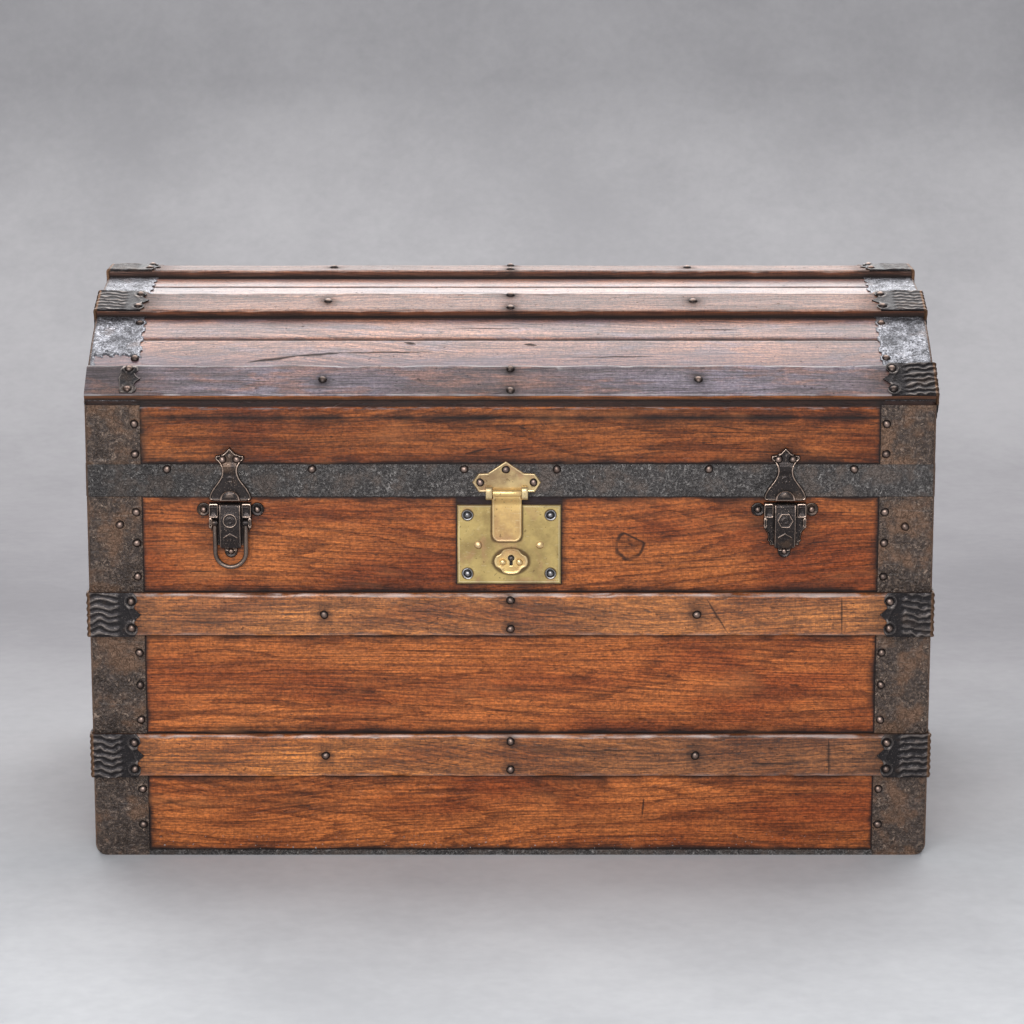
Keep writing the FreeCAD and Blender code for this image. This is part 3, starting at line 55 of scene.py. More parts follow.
# %% [markdown]
# Sizes are read from the frame, so that each new piece lies exactly where the CAD piece is. The dome is an
# arc of a circle about an axis along the trunk: its radius and the height of that axis follow from the
# highest and the lowest points of the staves, because three points fix a circle. The lock and the hasp lie a
# little to the left of the middle. Places in lists are in millimetres: the catches' x, and the x and z of the
# lock's screws and of the keyhole, which comes with half the width and the height of its plate.

# %% Places read from the frame
def limits(node):
    """The lowest and highest corners of a CAD node, as two numpy points in metres."""
    low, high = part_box(node)
    return np.array(low), np.array(high)


boards_low, boards_high = limits("front_boards")
iron_low, iron_high = limits("corner_iron_front_left")
slat_low, slat_high = limits("front_slat_lower")
FRONT_Y = boards_low[1]
WOOD_L = boards_high[0]
WOOD_D = -FRONT_Y
HALF_L = -iron_low[0]
SEAM_Z = boards_high[2]
LID_Z = limits("lid_front_boards")[0][2]
BAND_TOP = limits("lid_band")[1][2]
IRON_REACH = -iron_high[0]
IRON_T = 1.2 * MM
SLAT_T = FRONT_Y - slat_low[1]
SLAT_W = slat_high[2] - slat_low[2]
LOW_SLAT_Z = (slat_low[2] + slat_high[2]) / 2
HIGH_SLAT_Z = sum(corner[2] for corner in limits("front_slat_upper")) / 2
SLAT_HALF = slat_high[0]
DOME_TOP = limits("dome_staves")[1][2]
STAVE_T = 9.0 * MM
DOME_FOOT = 477.14 * MM
DOME_R = (WOOD_D ** 2 + (DOME_TOP - DOME_FOOT) ** 2) / (2 * (DOME_TOP - DOME_FOOT))
DOME_Z = DOME_TOP - DOME_R
DOME_HALF = math.asin(WOOD_D / DOME_R)
DOME_SLAT_W = 42.5 * MM
LOW_SLAT_TURN = DOME_HALF - (DOME_SLAT_W / 2 + 0.15 * MM) / DOME_R
DOME_SLAT_TURNS = [LOW_SLAT_TURN * share for share in (-1.0, -0.475, 0.0, 0.475, 1.0)]
EDGE_SHEET_W = 52.0 * MM
LIP_Z = DOME_FOOT - 17.0 * MM
FOOT_IRON_TOP = 5.4 * MM
END_IRON_REACH = 198.0 * MM
INSIDE_L, INSIDE_D = 417.2 * MM, 240.7 * MM
LID_FACE = FRONT_Y - 1.6 * MM
AXLE_Y = FRONT_Y - 6.4 * MM
CATCHES = (("left", -284.3), ("right", 278.4))
LOCK_LEFT, LOCK_Z, LOCK_HALF_W, LOCK_HALF_H = 1.5 * MM, 329.7 * MM, 52.8 * MM, 41.0 * MM
LOCK_SCREWS = ((-43.7, 360.1), (40.7, 360.1), (-43.7, 299.3), (40.7, 299.3))
KEYHOLE = ((0.6, 312.0), (17.3, 12.8))
HASP_LEFT, LEAF_FOOT = 3.7 * MM, 332.7 * MM
print("dome radius", round(DOME_R, 4), "axis at z", round(DOME_Z, 4), "half angle",
      round(math.degrees(DOME_HALF), 2))

# %% [markdown]
# A view from far away through a long lens keeps the front square. The camera stands a little above the lid
# and looks slightly down. The floor sweeps up into a backdrop, so there is no corner behind the trunk, and
# the light is a wide panel overhead, slightly behind the trunk, with a dim panel in front that opens the
# shadows.

# %% Camera, floor and light
CAMERA_AT = (0.0015, -3.584, 1.054)
CAMERA_TILT = math.radians(78.28)
LENS = 117.75


def linked(name, data):
    """An object for a camera, a lamp or a mesh, placed in the scene."""
    made = bpy.data.objects.new(name, data)
    bpy.context.scene.collection.objects.link(made)
    return made


lens = bpy.data.cameras.new("camera")
lens.lens = LENS
lens.sensor_width = 36.0
lens.sensor_fit = "HORIZONTAL"
lens.clip_start = 0.05
camera = linked("camera", lens)
camera.location = CAMERA_AT
camera.rotation_euler = (CAMERA_TILT, 0.0, 0.0)
bpy.context.scene.camera = camera
bpy.context.scene.view_settings.view_transform = "Standard"


def panel(name, place, aim, size, power):
    """A rectangular lamp at a place, turned so that it shines at an aim point."""
    light = bpy.data.lights.new(name, "AREA")
    light.shape = "RECTANGLE"
    light.size, light.size_y = size
    light.energy = power
    lamp = linked(name, light)
    lamp.location = place
    towards = np.array(aim) - np.array(place)
    flat = math.hypot(towards[0], towards[1])
    lamp.rotation_euler = (math.atan2(flat, -towards[2]), 0.0,
                           math.atan2(towards[1], towards[0]) - math.pi / 2)


panel("overhead", (0.0, 0.85, 2.5), (0.0, 0.0, 0.3), (3.4, 1.5), 46.0)
panel("back_top", (0.0, 2.1, 1.75), (0.0, 0.0, 0.55), (3.4, 1.5), 44.0)
panel("front_fill", (-0.6, -3.4, 1.7), (0.0, 0.0, 0.25), (3.0, 1.8), 92.0)

world = bpy.data.worlds.new("studio")
bpy.context.scene.world = world
world.use_nodes = True
world.node_tree.nodes["Background"].inputs["Color"].default_value = (0.60, 0.62, 0.68, 1.0)
world.node_tree.nodes["Background"].inputs["Strength"].default_value = 0.50
print("camera", CAMERA_AT, "lens", LENS)

# %% [markdown]
# Meshes are worked out as grids of points: a formula gives the place of each point from its row and column,
# and four neighbours make a face. A sheet of metal is two such grids, an outer and an inner one, joined round
# their edges, so the piece is closed. A bar is a ring of points carried along a path and closed at both ends.

# %% Grids, shells and tubes
def grid_faces(rows, columns, wrap=False):
    """Quads of a grid whose point (i, j) has number i * columns + j; wrap joins last to first."""
    i, j = np.meshgrid(np.arange(rows - 1), np.arange(columns if wrap else columns - 1), indexing="ij")
    following = (j + 1) % columns
    quads = [i * columns + j, (i + 1) * columns + j, (i + 1) * columns + following, i * columns + following]
    return np.stack(quads, -1).reshape(-1, 4)


def shell(outer, inner):
    """Points and faces of a closed sheet: the outer grid, the inner one turned over, quads round the rim."""
    rows, columns = outer.shape[:2]
    count = rows * columns
    top = grid_faces(rows, columns)
    index = np.arange(count).reshape(rows, columns)
    rim = np.concatenate([index[0, :-1], index[:-1, -1], index[-1, :0:-1], index[:0:-1, 0]])
    ahead = np.roll(rim, -1)
    sides = np.stack([rim, ahead, ahead + count, rim + count], -1)
    points = np.concatenate([outer.reshape(-1, 3), inner.reshape(-1, 3)])
    return points, np.concatenate([top, top[:, ::-1] + count, sides]).tolist()


def tube(rings):
    """Points and faces of a closed bar: rings of points joined one to the next, each end closed by a fan."""
    rows, columns = rings.shape[:2]
    points = np.concatenate([rings.reshape(-1, 3), rings[:1].mean(1), rings[-1:].mean(1)])
    first, last = rows * columns, rows * columns + 1
    j = np.arange(columns)
    ahead = (j + 1) % columns
    start = np.stack([np.full(columns, first), j, ahead], -1)
    end = np.stack([np.full(columns, last), (rows - 1) * columns + ahead, (rows - 1) * columns + j], -1)
    return points, grid_faces(rows, columns, wrap=True).tolist() + start.tolist() + end.tolist()


def joined(parts):
    """One set of points and faces from several."""
    points, faces, count = [], [], 0
    for some_points, some_faces in parts:
        points.append(some_points)
        faces += [[k + count for k in face] for face in some_faces]
        count += len(some_points)
    return np.concatenate(points), faces


def ripple(u, v, size, seed, waves=14):
    """Smooth random relief, mostly within -1 to 1: a sum of plane waves with random directions and phases."""
    rng = np.random.default_rng(seed)
    turn = rng.uniform(0.0, 2 * math.pi, waves)
    pitch = 2 * math.pi / (size * rng.uniform(0.7, 1.9, waves))
    phase = rng.uniform(0.0, 2 * math.pi, waves)
    total = np.zeros(np.broadcast(u, v).shape)
    for k in range(waves):
        total = total + np.sin(pitch[k] * (u * math.cos(turn[k]) + v * math.sin(turn[k])) + phase[k])
    return total / math.sqrt(2 * waves)


def smooth(low, high, value):
    """0 below low, 1 above high, and a soft S curve between them."""
    share = np.clip((value - low) / (high - low), 0.0, 1.0)
    return share * share * (3 - 2 * share)


def hill(distance, width):
    """A soft hill of height 1 at distance 0 that has fallen to a third at the width."""
    return np.exp(-(distance / width) ** 2)


def add_piece(name, shape, material, body, replaces, attributes, sharp):
    """Makes the object, faces outward and smooth below an angle, and hangs it on its body."""
    points, faces = shape
    mesh = bpy.data.meshes.new(name)
    mesh.from_pydata(points.tolist(), [], faces)
    for label, values in attributes:
        kind = "FLOAT_VECTOR" if np.ndim(values) == 2 else "FLOAT"
        layer = mesh.attributes.new(label, kind, "POINT")
        key = "vector" if kind == "FLOAT_VECTOR" else "value"
        layer.data.foreach_set(key, np.asarray(values, np.float32).ravel())
    piece = linked(name, mesh)
    turn_outward(mesh)
    mesh.shade_smooth()
    mesh.set_sharp_from_angle(angle=math.radians(sharp))
    mesh.materials.append(material)
    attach(piece, body)
    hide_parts(*replaces)
    print(name, len(points), "points")


def turn_outward(mesh):
    """Makes all faces of closed shells point out of them."""
    work = bmesh.new()
    work.from_mesh(mesh)
    bmesh.ops.recalc_face_normals(work, faces=work.faces)
    work.to_mesh(mesh)
    work.free()


# %% [markdown]
# A piece that lies on a face of the trunk is worked out flat: x along it, y across it and z out of it. A seat
# says where that flat drawing goes: its origin, and the directions of its three axes.

# %% Seats
class Seat:
    """Where a flat drawing goes: an origin, and directions for along, across and out."""

    def __init__(self, origin, along, across, out):
        self.origin = np.array(origin, float)
        self.axes = np.array([along, across, out], float)

    def put(self, x, y, z):
        """World points from flat x, y and z arrays of one shape."""
        x, y, z = np.broadcast_arrays(x, y, z)
        return self.origin + np.stack([x, y, z], -1) @ self.axes


def front_seat(height, y=FRONT_Y, x=0.0):
    """A seat on the front boards or before them, across pointing up."""
    return Seat((x, y, height), (1, 0, 0), (0, 0, 1), (0, -1, 0))


def dome_seat(turn, radius=DOME_R):
    """A seat on the dome at an angle from its top, across pointing up or back along the arc."""
    radial = (0.0, math.sin(turn), math.cos(turn))
    tangent = (0.0, math.cos(turn), -math.sin(turn))
    return Seat((0.0, radial[1] * radius, DOME_Z + radial[2] * radius), (1, 0, 0), tangent, radial)


print("seats ready")

# %% [markdown]
# The floor and the backdrop are one sheet: flat under the trunk, then a quarter circle, then upright. With no
# edge behind the trunk the light changes slowly over it, as it does on a roll of painted canvas.

# %% Floor and backdrop
def sweep_sheet(half_width=7.0, front=-6.0, bend_at=1.6, bend=1.5, height=6.0):
    """A profile along X: level to bend_at, then (bend_at + bend sin a, bend - bend cos a), then upright."""
    turn = np.linspace(0.0, math.pi / 2, 25)
    profile_y = np.concatenate([[front], bend_at + bend * np.sin(turn), [bend_at + bend]])
    profile_z = np.concatenate([[0.0], bend - bend * np.cos(turn), [height]])
    x = np.array([-half_width, half_width])[None, :]
    columns = np.broadcast_arrays(x, profile_y[:, None], profile_z[:, None])
    points = np.stack(columns, -1).reshape(-1, 3)
    return points, grid_faces(len(profile_y), 2)[:, ::-1].tolist()


sheet_points, sheet_faces = sweep_sheet()
sheet_mesh = bpy.data.meshes.new("studio_sweep")
sheet_mesh.from_pydata(sheet_points.tolist(), [], sheet_faces)
sheet_mesh.shade_smooth()
studio_sweep = linked("studio_sweep", sheet_mesh)
print("sweep", len(sheet_faces), "faces")

# %% [markdown]
# A material is a network of nodes. Written out one node at a time it is hard to read, so two small classes
# let the network be written as formulas. A Value is the output of a node, and arithmetic with it adds one
# more node. The Network adds all other nodes, and gives back their outputs as Values, ready for the next
# formula.

# %% Node networks as formulas
def step(operation, swapped=False):
    """The method that adds one node of arithmetic for a sign, with its two sides swapped if wanted."""
    def formula(value, other=0.0):
        return value.net.math(operation, other, value) if swapped else value.net.math(operation, value, other)

    return formula


class Value:
    """The output of a node, for use in formulas."""

    def __init__(self, net, socket):
        self.net, self.socket = net, socket

    __add__, __mul__, __truediv__ = step("ADD"), step("MULTIPLY"), step("DIVIDE")
    __sub__, __rsub__ = step("SUBTRACT"), step("SUBTRACT", swapped=True)
    __lt__, __gt__, __abs__ = step("LESS_THAN"), step("GREATER_THAN"), step("ABSOLUTE")


class Network:
    """A node tree that is written as formulas."""

    def __init__(self, tree):
        self.tree = tree
        tree.nodes.clear()

    def node(self, kind, inputs, **settings):
        """One node with its settings; inputs are numbers, colours or the Values of other nodes."""
        made = self.tree.nodes.new("ShaderNode" + kind)
        for name, value in settings.items():
            setattr(made, name, value)
        for key, value in inputs.items():
            self.connect(made.inputs[key], value)
        return made

    def connect(self, socket, value):
        """Joins a Value to a socket, or sets the socket to a plain number or colour."""
        if isinstance(value, Value):
            self.tree.links.new(value.socket, socket)
        elif socket.type == "RGBA":
            socket.default_value = (*value[:3], 1.0)
        else:
            socket.default_value = value

    def values(self, sockets):
        """Several outputs by name."""
        return {socket.name: Value(self, socket) for socket in sockets}

    def add(self, kind, inputs, output=0, **settings):
        """One output of a new node."""
        return Value(self, self.node(kind, inputs, **settings).outputs[output])

    def math(self, operation, a, b=0.5, c=0.5, clamp=False):
        """One step of arithmetic."""
        return self.add("Math", {0: a, 1: b, 2: c}, operation=operation, use_clamp=clamp)

    def vectors(self, operation, a, b=(0.0, 0.0, 0.0)):
        """One step of arithmetic with vectors; a length, a distance and a dot product are plain numbers."""
        output = "Value" if operation in ("LENGTH", "DISTANCE", "DOT_PRODUCT") else "Vector"
        return self.add("VectorMath", {0: a, 1: b}, output, operation=operation)

    def most(self, values):
        """The largest of several masks."""
        result = values[0]
        for value in values[1:]:
            result = self.math("MAXIMUM", result, value)
        return result

    def rest(self, mask):
        """What a mask leaves: 1 less the mask, not below 0."""
        return self.math("SUBTRACT", 1.0, mask, clamp=True)

    def parts(self, vector):
        """The x, y and z of a vector."""
        return [Value(self, socket) for socket in self.node("SeparateXYZ", {0: vector}).outputs]

    def vector(self, x, y, z):
        """A vector from its x, y and z."""
        return self.add("CombineXYZ", {0: x, 1: y, 2: z})

    def noise(self, vector, scale, detail=3.0, rough=0.55, distortion=0.0):
        """Soft random values about 0.5 that change over 1 / scale metres along each axis."""
        at = self.vectors("MULTIPLY", vector, scale if isinstance(scale, tuple) else (scale, scale, scale))
        look = {"Detail": detail, "Roughness": rough, "Distortion": distortion}
        return self.add("TexNoise", {"Vector": at, "Scale": 1.0, **look})

    def ramp(self, value, low, high, start=0.0, end=1.0):
        """A soft step: start below low, end above high."""
        inputs = {"Value": value, "From Min": low, "From Max": high, "To Min": start, "To Max": end}
        return self.add("MapRange", inputs, interpolation_type="SMOOTHSTEP")

    def patches(self, vector, scale, low, high, start=0.0, end=1.0, **settings):
        """Patches with soft borders: a soft step of noise."""
        return self.ramp(self.noise(vector, scale, **settings), low, high, start, end)

    def mix(self, share, first, second, blend="MIX"):
        """Two colours mixed by a mask."""
        return self.add("Mix", {0: share, 6: first, 7: second}, 2, data_type="RGBA", blend_type=blend)

    def product(self, first, second):
        """Two colours multiplied, so that one tints the other."""
        return self.mix(1.0, first, second, "MULTIPLY")

    def group(self, tree, inputs):
        """A shared effect with its inputs given by name."""
        return self.values(self.node("Group", inputs, node_tree=tree).outputs)

    def bump(self, height, distance, strength=1.0):
        """A normal bent by a height, whose full range stands for a distance in metres."""
        return self.add("Bump", {"Height": height, "Distance": distance, "Strength": strength}, "Normal")

    def place(self):
        """Object coordinates: metres in the trunk's own frame."""
        return self.add("TexCoord", {}, "Object")

    def carried(self, name, output="Vector"):
        """A value that the mesh carries at each point."""
        return self.add("Attribute", {}, output, attribute_name=name)

    def finish(self, one_sided=False, **inputs):
        """The Principled shader, wired to the surface; a one-sided sheet is clear from behind."""
        shader = self.add("BsdfPrincipled", {name.replace("_", " "): value for name, value in inputs.items()})
        if one_sided:
            behind, clear = self.add("NewGeometry", {}, "Backfacing"), self.add("BsdfTransparent", {})
            shader = self.add("MixShader", {0: behind, 1: shader, 2: clear})
        self.node("OutputMaterial", {"Surface": shader})


def new_material(name):
    """An empty material and its network."""
    made = bpy.data.materials.new(name)
    made.use_nodes = True
    return made, Network(made.node_tree)


def new_effect(name, inputs, formulas):
    """A shared effect: a group of nodes, whose inputs come with their plain values, or None for a vector.

    formulas(net, ...) takes the inputs in the same order and gives the outputs by name.
    """
    tree = bpy.data.node_groups.new(name, "ShaderNodeTree")
    net = Network(tree)
    for label, value in inputs.items():
        kind = "NodeSocketVector" if value is None else "NodeSocketFloat"
        socket = tree.interface.new_socket(name=label, in_out="INPUT", socket_type=kind)
        if value is not None:
            socket.default_value = value
    given = net.values(tree.nodes.new("NodeGroupInput").outputs)
    made = formulas(net, *(given[label] for label in inputs))
    for label in made:
        tree.interface.new_socket(name=label, in_out="OUTPUT", socket_type="NodeSocketFloat")
    result = tree.nodes.new("NodeGroupOutput").inputs
    for label, value in made.items():
        net.connect(result[label], value)
    print(name, "group", len(tree.nodes), "nodes")
    return tree


def darker(colour, share):
    """A colour times a number."""
    return tuple(share * part for part in colour)


def from_axis(net, y, z):
    """The distance from the dome's axis."""
    return net.vectors("LENGTH", net.vector(0.0, y, z - DOME_Z))


print("networks ready")

# %% [markdown]
# Wood shows three things at once: the yearly rings, which a saw cuts into long arches; the fine fibres
# between them; and, in oak, short dark pores. All three are random patterns drawn out along the grain. The
# arches are the contour lines of one slow pattern, which is what they are in a real board. The group is used
# by every wood here, each with its own grain direction: its input has x along the grain.

# %% Shared effect: wood grain
def wood_formulas(net, at, ring_count, wander):
    """Rings, fibres and pores as masks, a slow cloud, and the height of the worn surface."""
    slow = net.noise(at, (1.4, 9.0, 9.0), detail=1.8, rough=0.42, distortion=0.3)
    shiver = net.noise(at, (12.0, 160.0, 160.0), detail=2.0)
    contour = slow * ring_count + shiver * (wander * 0.3)
    rings = net.ramp(net.math("FRACT", contour * 3.0), 0.62, 1.0)
    along, lift, deep = net.parts(at)
    follow = net.vector(along, lift + slow * 0.1, deep)
    long_fibres = net.noise(follow, (5.5, 560.0, 400.0), detail=4.0, rough=0.72)
    short_fibres = net.noise(follow, (30.0, 900.0, 620.0), detail=3.0, rough=0.68)
    saw_marks = net.noise(at, (900.0, 90.0, 90.0), detail=1.0)
    fibres = long_fibres * 0.54 + short_fibres * 0.37 + saw_marks * 0.09
    pores = net.patches(follow, (75.0, 900.0, 900.0), 0.6, 0.68, detail=1.0)
    cloud = net.noise(at, (5.0, 17.0, 17.0), detail=4.0, rough=0.6)
    height = fibres * 0.55 + rings * -0.25 + pores * -0.5
    return {"Rings": rings, "Fibres": fibres, "Pores": pores, "Cloud": cloud, "Height": height}


wood_grain = new_effect("wood_grain", {"At": None, "Ring count": 9.0, "Wander": 1.0}, wood_formulas)

# %% [markdown]
# Dirt and polish gather along every edge where one piece lies on another, and shade falls there: the dark
# line is dirt and painted shade together. A board's material knows where the slats and irons lie, so the dark
# line is worked out from the distance to them, and its width wanders.

# %% Shared effect: a line of grime and painted shade
def grime_and_shade_formulas(net, distance, reach, at):
    """A mask that falls from 1 at distance 0 to 0 at a reach that wanders."""
    wander = net.patches(at, 22.0, 0.3, 0.7, 0.25, 1.7, detail=4.0)
    return {"Mask": net.math("POWER", net.rest(distance / (reach * wander)), 1.6)}


grime_and_shade_line = new_effect("grime_and_shade_line", {"Distance": 1.0, "Reach": 0.006, "At": None}, grime_and_shade_formulas)


def grime_and_shade_mask(net, distance, reach, at):
    """The mask of grime and painted shade about an edge, from the distance to it."""
    return net.group(grime_and_shade_line, {"Distance": distance, "Reach": reach, "At": at})["Mask"]


# %% [markdown]
# Single marks, such as a crack, a scratch or a knot, each have their own place. One effect draws a line
# between two points and one a round mark. Both work in the flat drawing of the surface that they are given.

# %% Shared effects: a stroke and a spot
def stroke_formulas(net, at, start, end, width, wander):
    """A line that is thin at both ends: the distance to its nearest point, over the width there."""
    drift = (net.noise(at, 45.0, detail=4.0) - 0.5) * wander
    pushed = net.vectors("ADD", at, net.vector(0.0, drift, 0.0))
    run = net.vectors("SUBTRACT", end, start)
    offset = net.vectors("SUBTRACT", pushed, start)
    share = net.math("DIVIDE", net.vectors("DOT_PRODUCT", offset, run), net.vectors("DOT_PRODUCT", run, run),
                     clamp=True)
    gap = net.vectors("DISTANCE", offset, net.add("VectorMath", {0: run, "Scale": share}, operation="SCALE"))
    taper = net.math("SINE", share * math.pi) + 0.15
    return {"Mask": net.rest(gap / (width * taper))}


def spot_formulas(net, at, centre, radius):
    """The distance from a point over an uneven radius, and a mask that falls to 0 at that radius."""
    uneven = net.patches(at, 55.0, 0.3, 0.7, 0.9, 1.12, detail=1.0)
    share = net.vectors("DISTANCE", at, centre) * uneven / radius
    return {"Mask": net.rest(share), "Distance": share}


stroke = new_effect("stroke", {"At": None, "From": None, "To": None, "Width": 0.001, "Wander": 0.002},
                    stroke_formulas)
spot = new_effect("spot", {"At": None, "Centre": None, "Radius": 0.01}, spot_formulas)


def strokes(net, flat, marks):
    """The masks of several marks, each given as two ends and a width in mm on a flat drawing."""
    masks = []
    for x0, z0, x1, z1, width in marks:
        ends = {"From": (x0 * MM, z0 * MM, 0.0), "To": (x1 * MM, z1 * MM, 0.0), "Width": width * MM}
        masks.append(net.group(stroke, {"At": flat, **ends, "Wander": 0.004})["Mask"])
    return masks


# %% [markdown]
# Old sheet iron is nearly black where the paint holds, rusty brown where it has gone, and bright where things
# rub. The effect gives a mottle for the rust, fine specks, long scratches, and a height for the roughened
# surface.

# %% Shared effect: iron skin
def skin_formulas(net, at):
    """A slow mottle, specks and scratches as masks, and a height."""
    mottle = net.noise(at, 34.0, detail=5.0, rough=0.62)
    specks = net.patches(at, 900.0, 0.62, 0.72, detail=2.0)
    scratches = net.patches(at, (30.0, 900.0, 500.0), 0.66, 0.72, detail=1.0, distortion=0.6)
    height = mottle * 0.5 + net.noise(at, 420.0, detail=2.0) * 0.5
    return {"Mottle": mottle, "Specks": specks, "Scratches": scratches, "Height": height}


iron_skin = new_effect("iron_skin", {"At": None}, skin_formulas)

# %% [markdown]
# The floor is a pale painted canvas, with the faint cloudiness of one. Its colour alone sets how light it
# looks, and it carries painted shade: pale in front of the trunk, darker towards and just behind the trunk,
# and lighter again up the backdrop.

# %% Material: studio canvas
canvas, net = new_material("studio_canvas")
at = net.place()
cloud = net.noise(at, 1.6, detail=6.0, rough=0.65)
grain = net.noise(at, 60.0, detail=2.0)
y = net.parts(at)[1]
# Painted shade: the colour darkens from in front of the trunk to just behind it, then lightens up the
# backdrop.
painted_falloff = net.mix(net.ramp(y, -0.9, 0.9), (0.675, 0.685, 0.695), (0.31, 0.30, 0.31))
painted_falloff = net.mix(net.ramp(y, 1.4, 2.9), painted_falloff, (0.49, 0.48, 0.485))
shade = net.ramp(cloud * 0.85 + grain * 0.15, 0.3, 0.72)
tint = net.mix(shade, (0.84, 0.84, 0.85), (1.1, 1.1, 1.1))
net.finish(one_sided=True, Base_Color=net.product(painted_falloff, tint), Roughness=0.92, Specular_IOR_Level=0.2)
sheet_mesh.materials.append(canvas)
print("canvas")

# %% [markdown]
# The box is stained pine. The stain sits in the soft wood between the rings, so the pattern is two browns.
# Along the front and back the grain runs with X, on the ends with Y. The inside was never stained.

# %% Material: stained boards
def body_edges(net, x, z):
    """The distance to the nearest edge of a slat, an iron, the band or the foot, seen from the front."""
    gaps = [abs(abs(x) - IRON_REACH), abs(z - LID_Z), abs(z - BAND_TOP), abs(z - FOOT_IRON_TOP),
            abs(z - LIP_Z) + 1.3 * MM]
    for height in (LOW_SLAT_Z, HIGH_SLAT_Z):
        from_middle = abs(z - height)
        gaps.append(abs(from_middle - SLAT_W / 2))
    nearest = gaps[0]
    for gap in gaps[1:]:
        nearest = net.math("MINIMUM", nearest, gap)
    return nearest


BOARD_NICKS = (
    (286, 181.5, 296, 181, 1.6), (118, 345, 128, 347, 1.0), (-40, 458, -10, 461, 1.3), (8, 452, 16, 449, 1.5),
    (-15, 425, 2, 429, 1.6), (-46, 423, -25, 428, 2.2), (-330, 300, -300, 302, 0.9), (136, 40, 138, 62, 1.6),
    (-365, 120, -340, 118, 1.0), (205, 452, 240, 447, 0.9), (300, 330, 330, 333, 1.0),
)


def board_marks(net, colour, at, x, y, z):
    """Single marks on the front boards: a knot, nicks, dirt and painted shade round the lock, painted shadows
    round the catches and under the dome's front slat, pale paint specks.
    """
    front = y < 0.0
    flat = net.vector(x, z, 0.0)
    knot_x, knot_z = 121.6 * MM, 329.7 * MM
    knot = net.group(spot, {"At": flat, "Centre": (knot_x, knot_z, 0.0), "Radius": 14.5 * MM})
    slope = (x - knot_x) * 0.447 + (z - knot_z) * 0.894
    reach = net.math("SMOOTH_MAX", knot["Distance"], slope / (7.6 * MM), 0.3)
    ring = net.ramp(abs(reach - 1.0), 0.2, 0.04)
    ring = ring * net.patches(flat, 60.0, 0.32, 0.5, 0.5, 0.85, detail=3.0)
    heart = net.ramp(reach, 1.25, 0.2) * 0.38
    dark = [ring + heart]
    dark += strokes(net, flat, BOARD_NICKS)
    lock_x = abs(x + LOCK_LEFT) - LOCK_HALF_W
    lock_z = abs(z - 333.8 * MM) - 45.0 * MM
    lock_gap = net.math("MAXIMUM", lock_x, lock_z)
    # Dirt and painted shade round the lock plate.
    dark.append(grime_and_shade_mask(net, lock_gap, 8.0 * MM, at))
    dark.append(net.ramp(lock_gap, 2.2 * MM, 1.0 * MM))
    blot = net.patches(at, (26.0, 40.0, 60.0), 0.6, 0.72, detail=5.0, rough=0.68)
    dark.append(blot * 0.5)
    # Painted shadows: dark halos round each catch.
    for height, reach in ((352, 42), (420, 26)):
        for side, place in CATCHES:
            centre = (place * MM, height * MM, 0.0)
            shadow_halo = net.group(spot, {"At": flat, "Centre": centre, "Radius": reach * MM})["Mask"]
            dark.append(net.math("POWER", shadow_halo, 0.7) * 0.8)
    # Painted shadow: a black band just below the dome's front slat.
    dark.append(net.ramp(z, DOME_FOOT - 6.4 * MM, DOME_FOOT - 5.4 * MM))
    colour = net.mix(front * 0.94 * net.most(dark), colour, (0.012, 0.006, 0.005))
    speck = net.patches(flat, 330.0, 0.7, 0.74, detail=1.0)
    low = net.ramp(z, 0.030, 0.008)
    flaked = net.patches(flat, (50.0, 400.0, 26.0), 0.46, 0.66, detail=5.0, rough=0.7)
    rim = net.ramp(z, DOME_FOOT - 9.4 * MM, DOME_FOOT - 7.6 * MM) * flaked
    rim = rim * net.ramp(z, DOME_FOOT - 5.6 * MM, DOME_FOOT - 6.8 * MM)
    pale = net.most([speck * low, rim * 0.5 * front])
    strip = net.ramp(lock_x, 1.0 * MM, -2.0 * MM) * net.ramp(z, 368.0 * MM, 370.5 * MM)
    strip = strip * front * net.ramp(z, SEAM_Z + 1.0 * MM, SEAM_Z)
    strip = strip * net.patches(flat, (90.0, 260.0, 0.0), 0.34, 0.6, detail=4.0, rough=0.7)
    colour = net.mix(strip * 0.9, colour, (0.024, 0.013, 0.015))
    return net.mix(pale, colour, (0.36, 0.32, 0.32))


def speckled(net, colour, at):
    """Fine lighter and darker grains, a few millimetres wide, over a wood's colour."""
    speck = net.noise(at, (260.0, 460.0, 460.0), detail=2.0, rough=0.7)
    tint = net.mix(net.ramp(speck, 0.38, 0.62), (0.72, 0.72, 0.77), (1.26, 1.26, 1.22))
    return net.product(colour, tint)


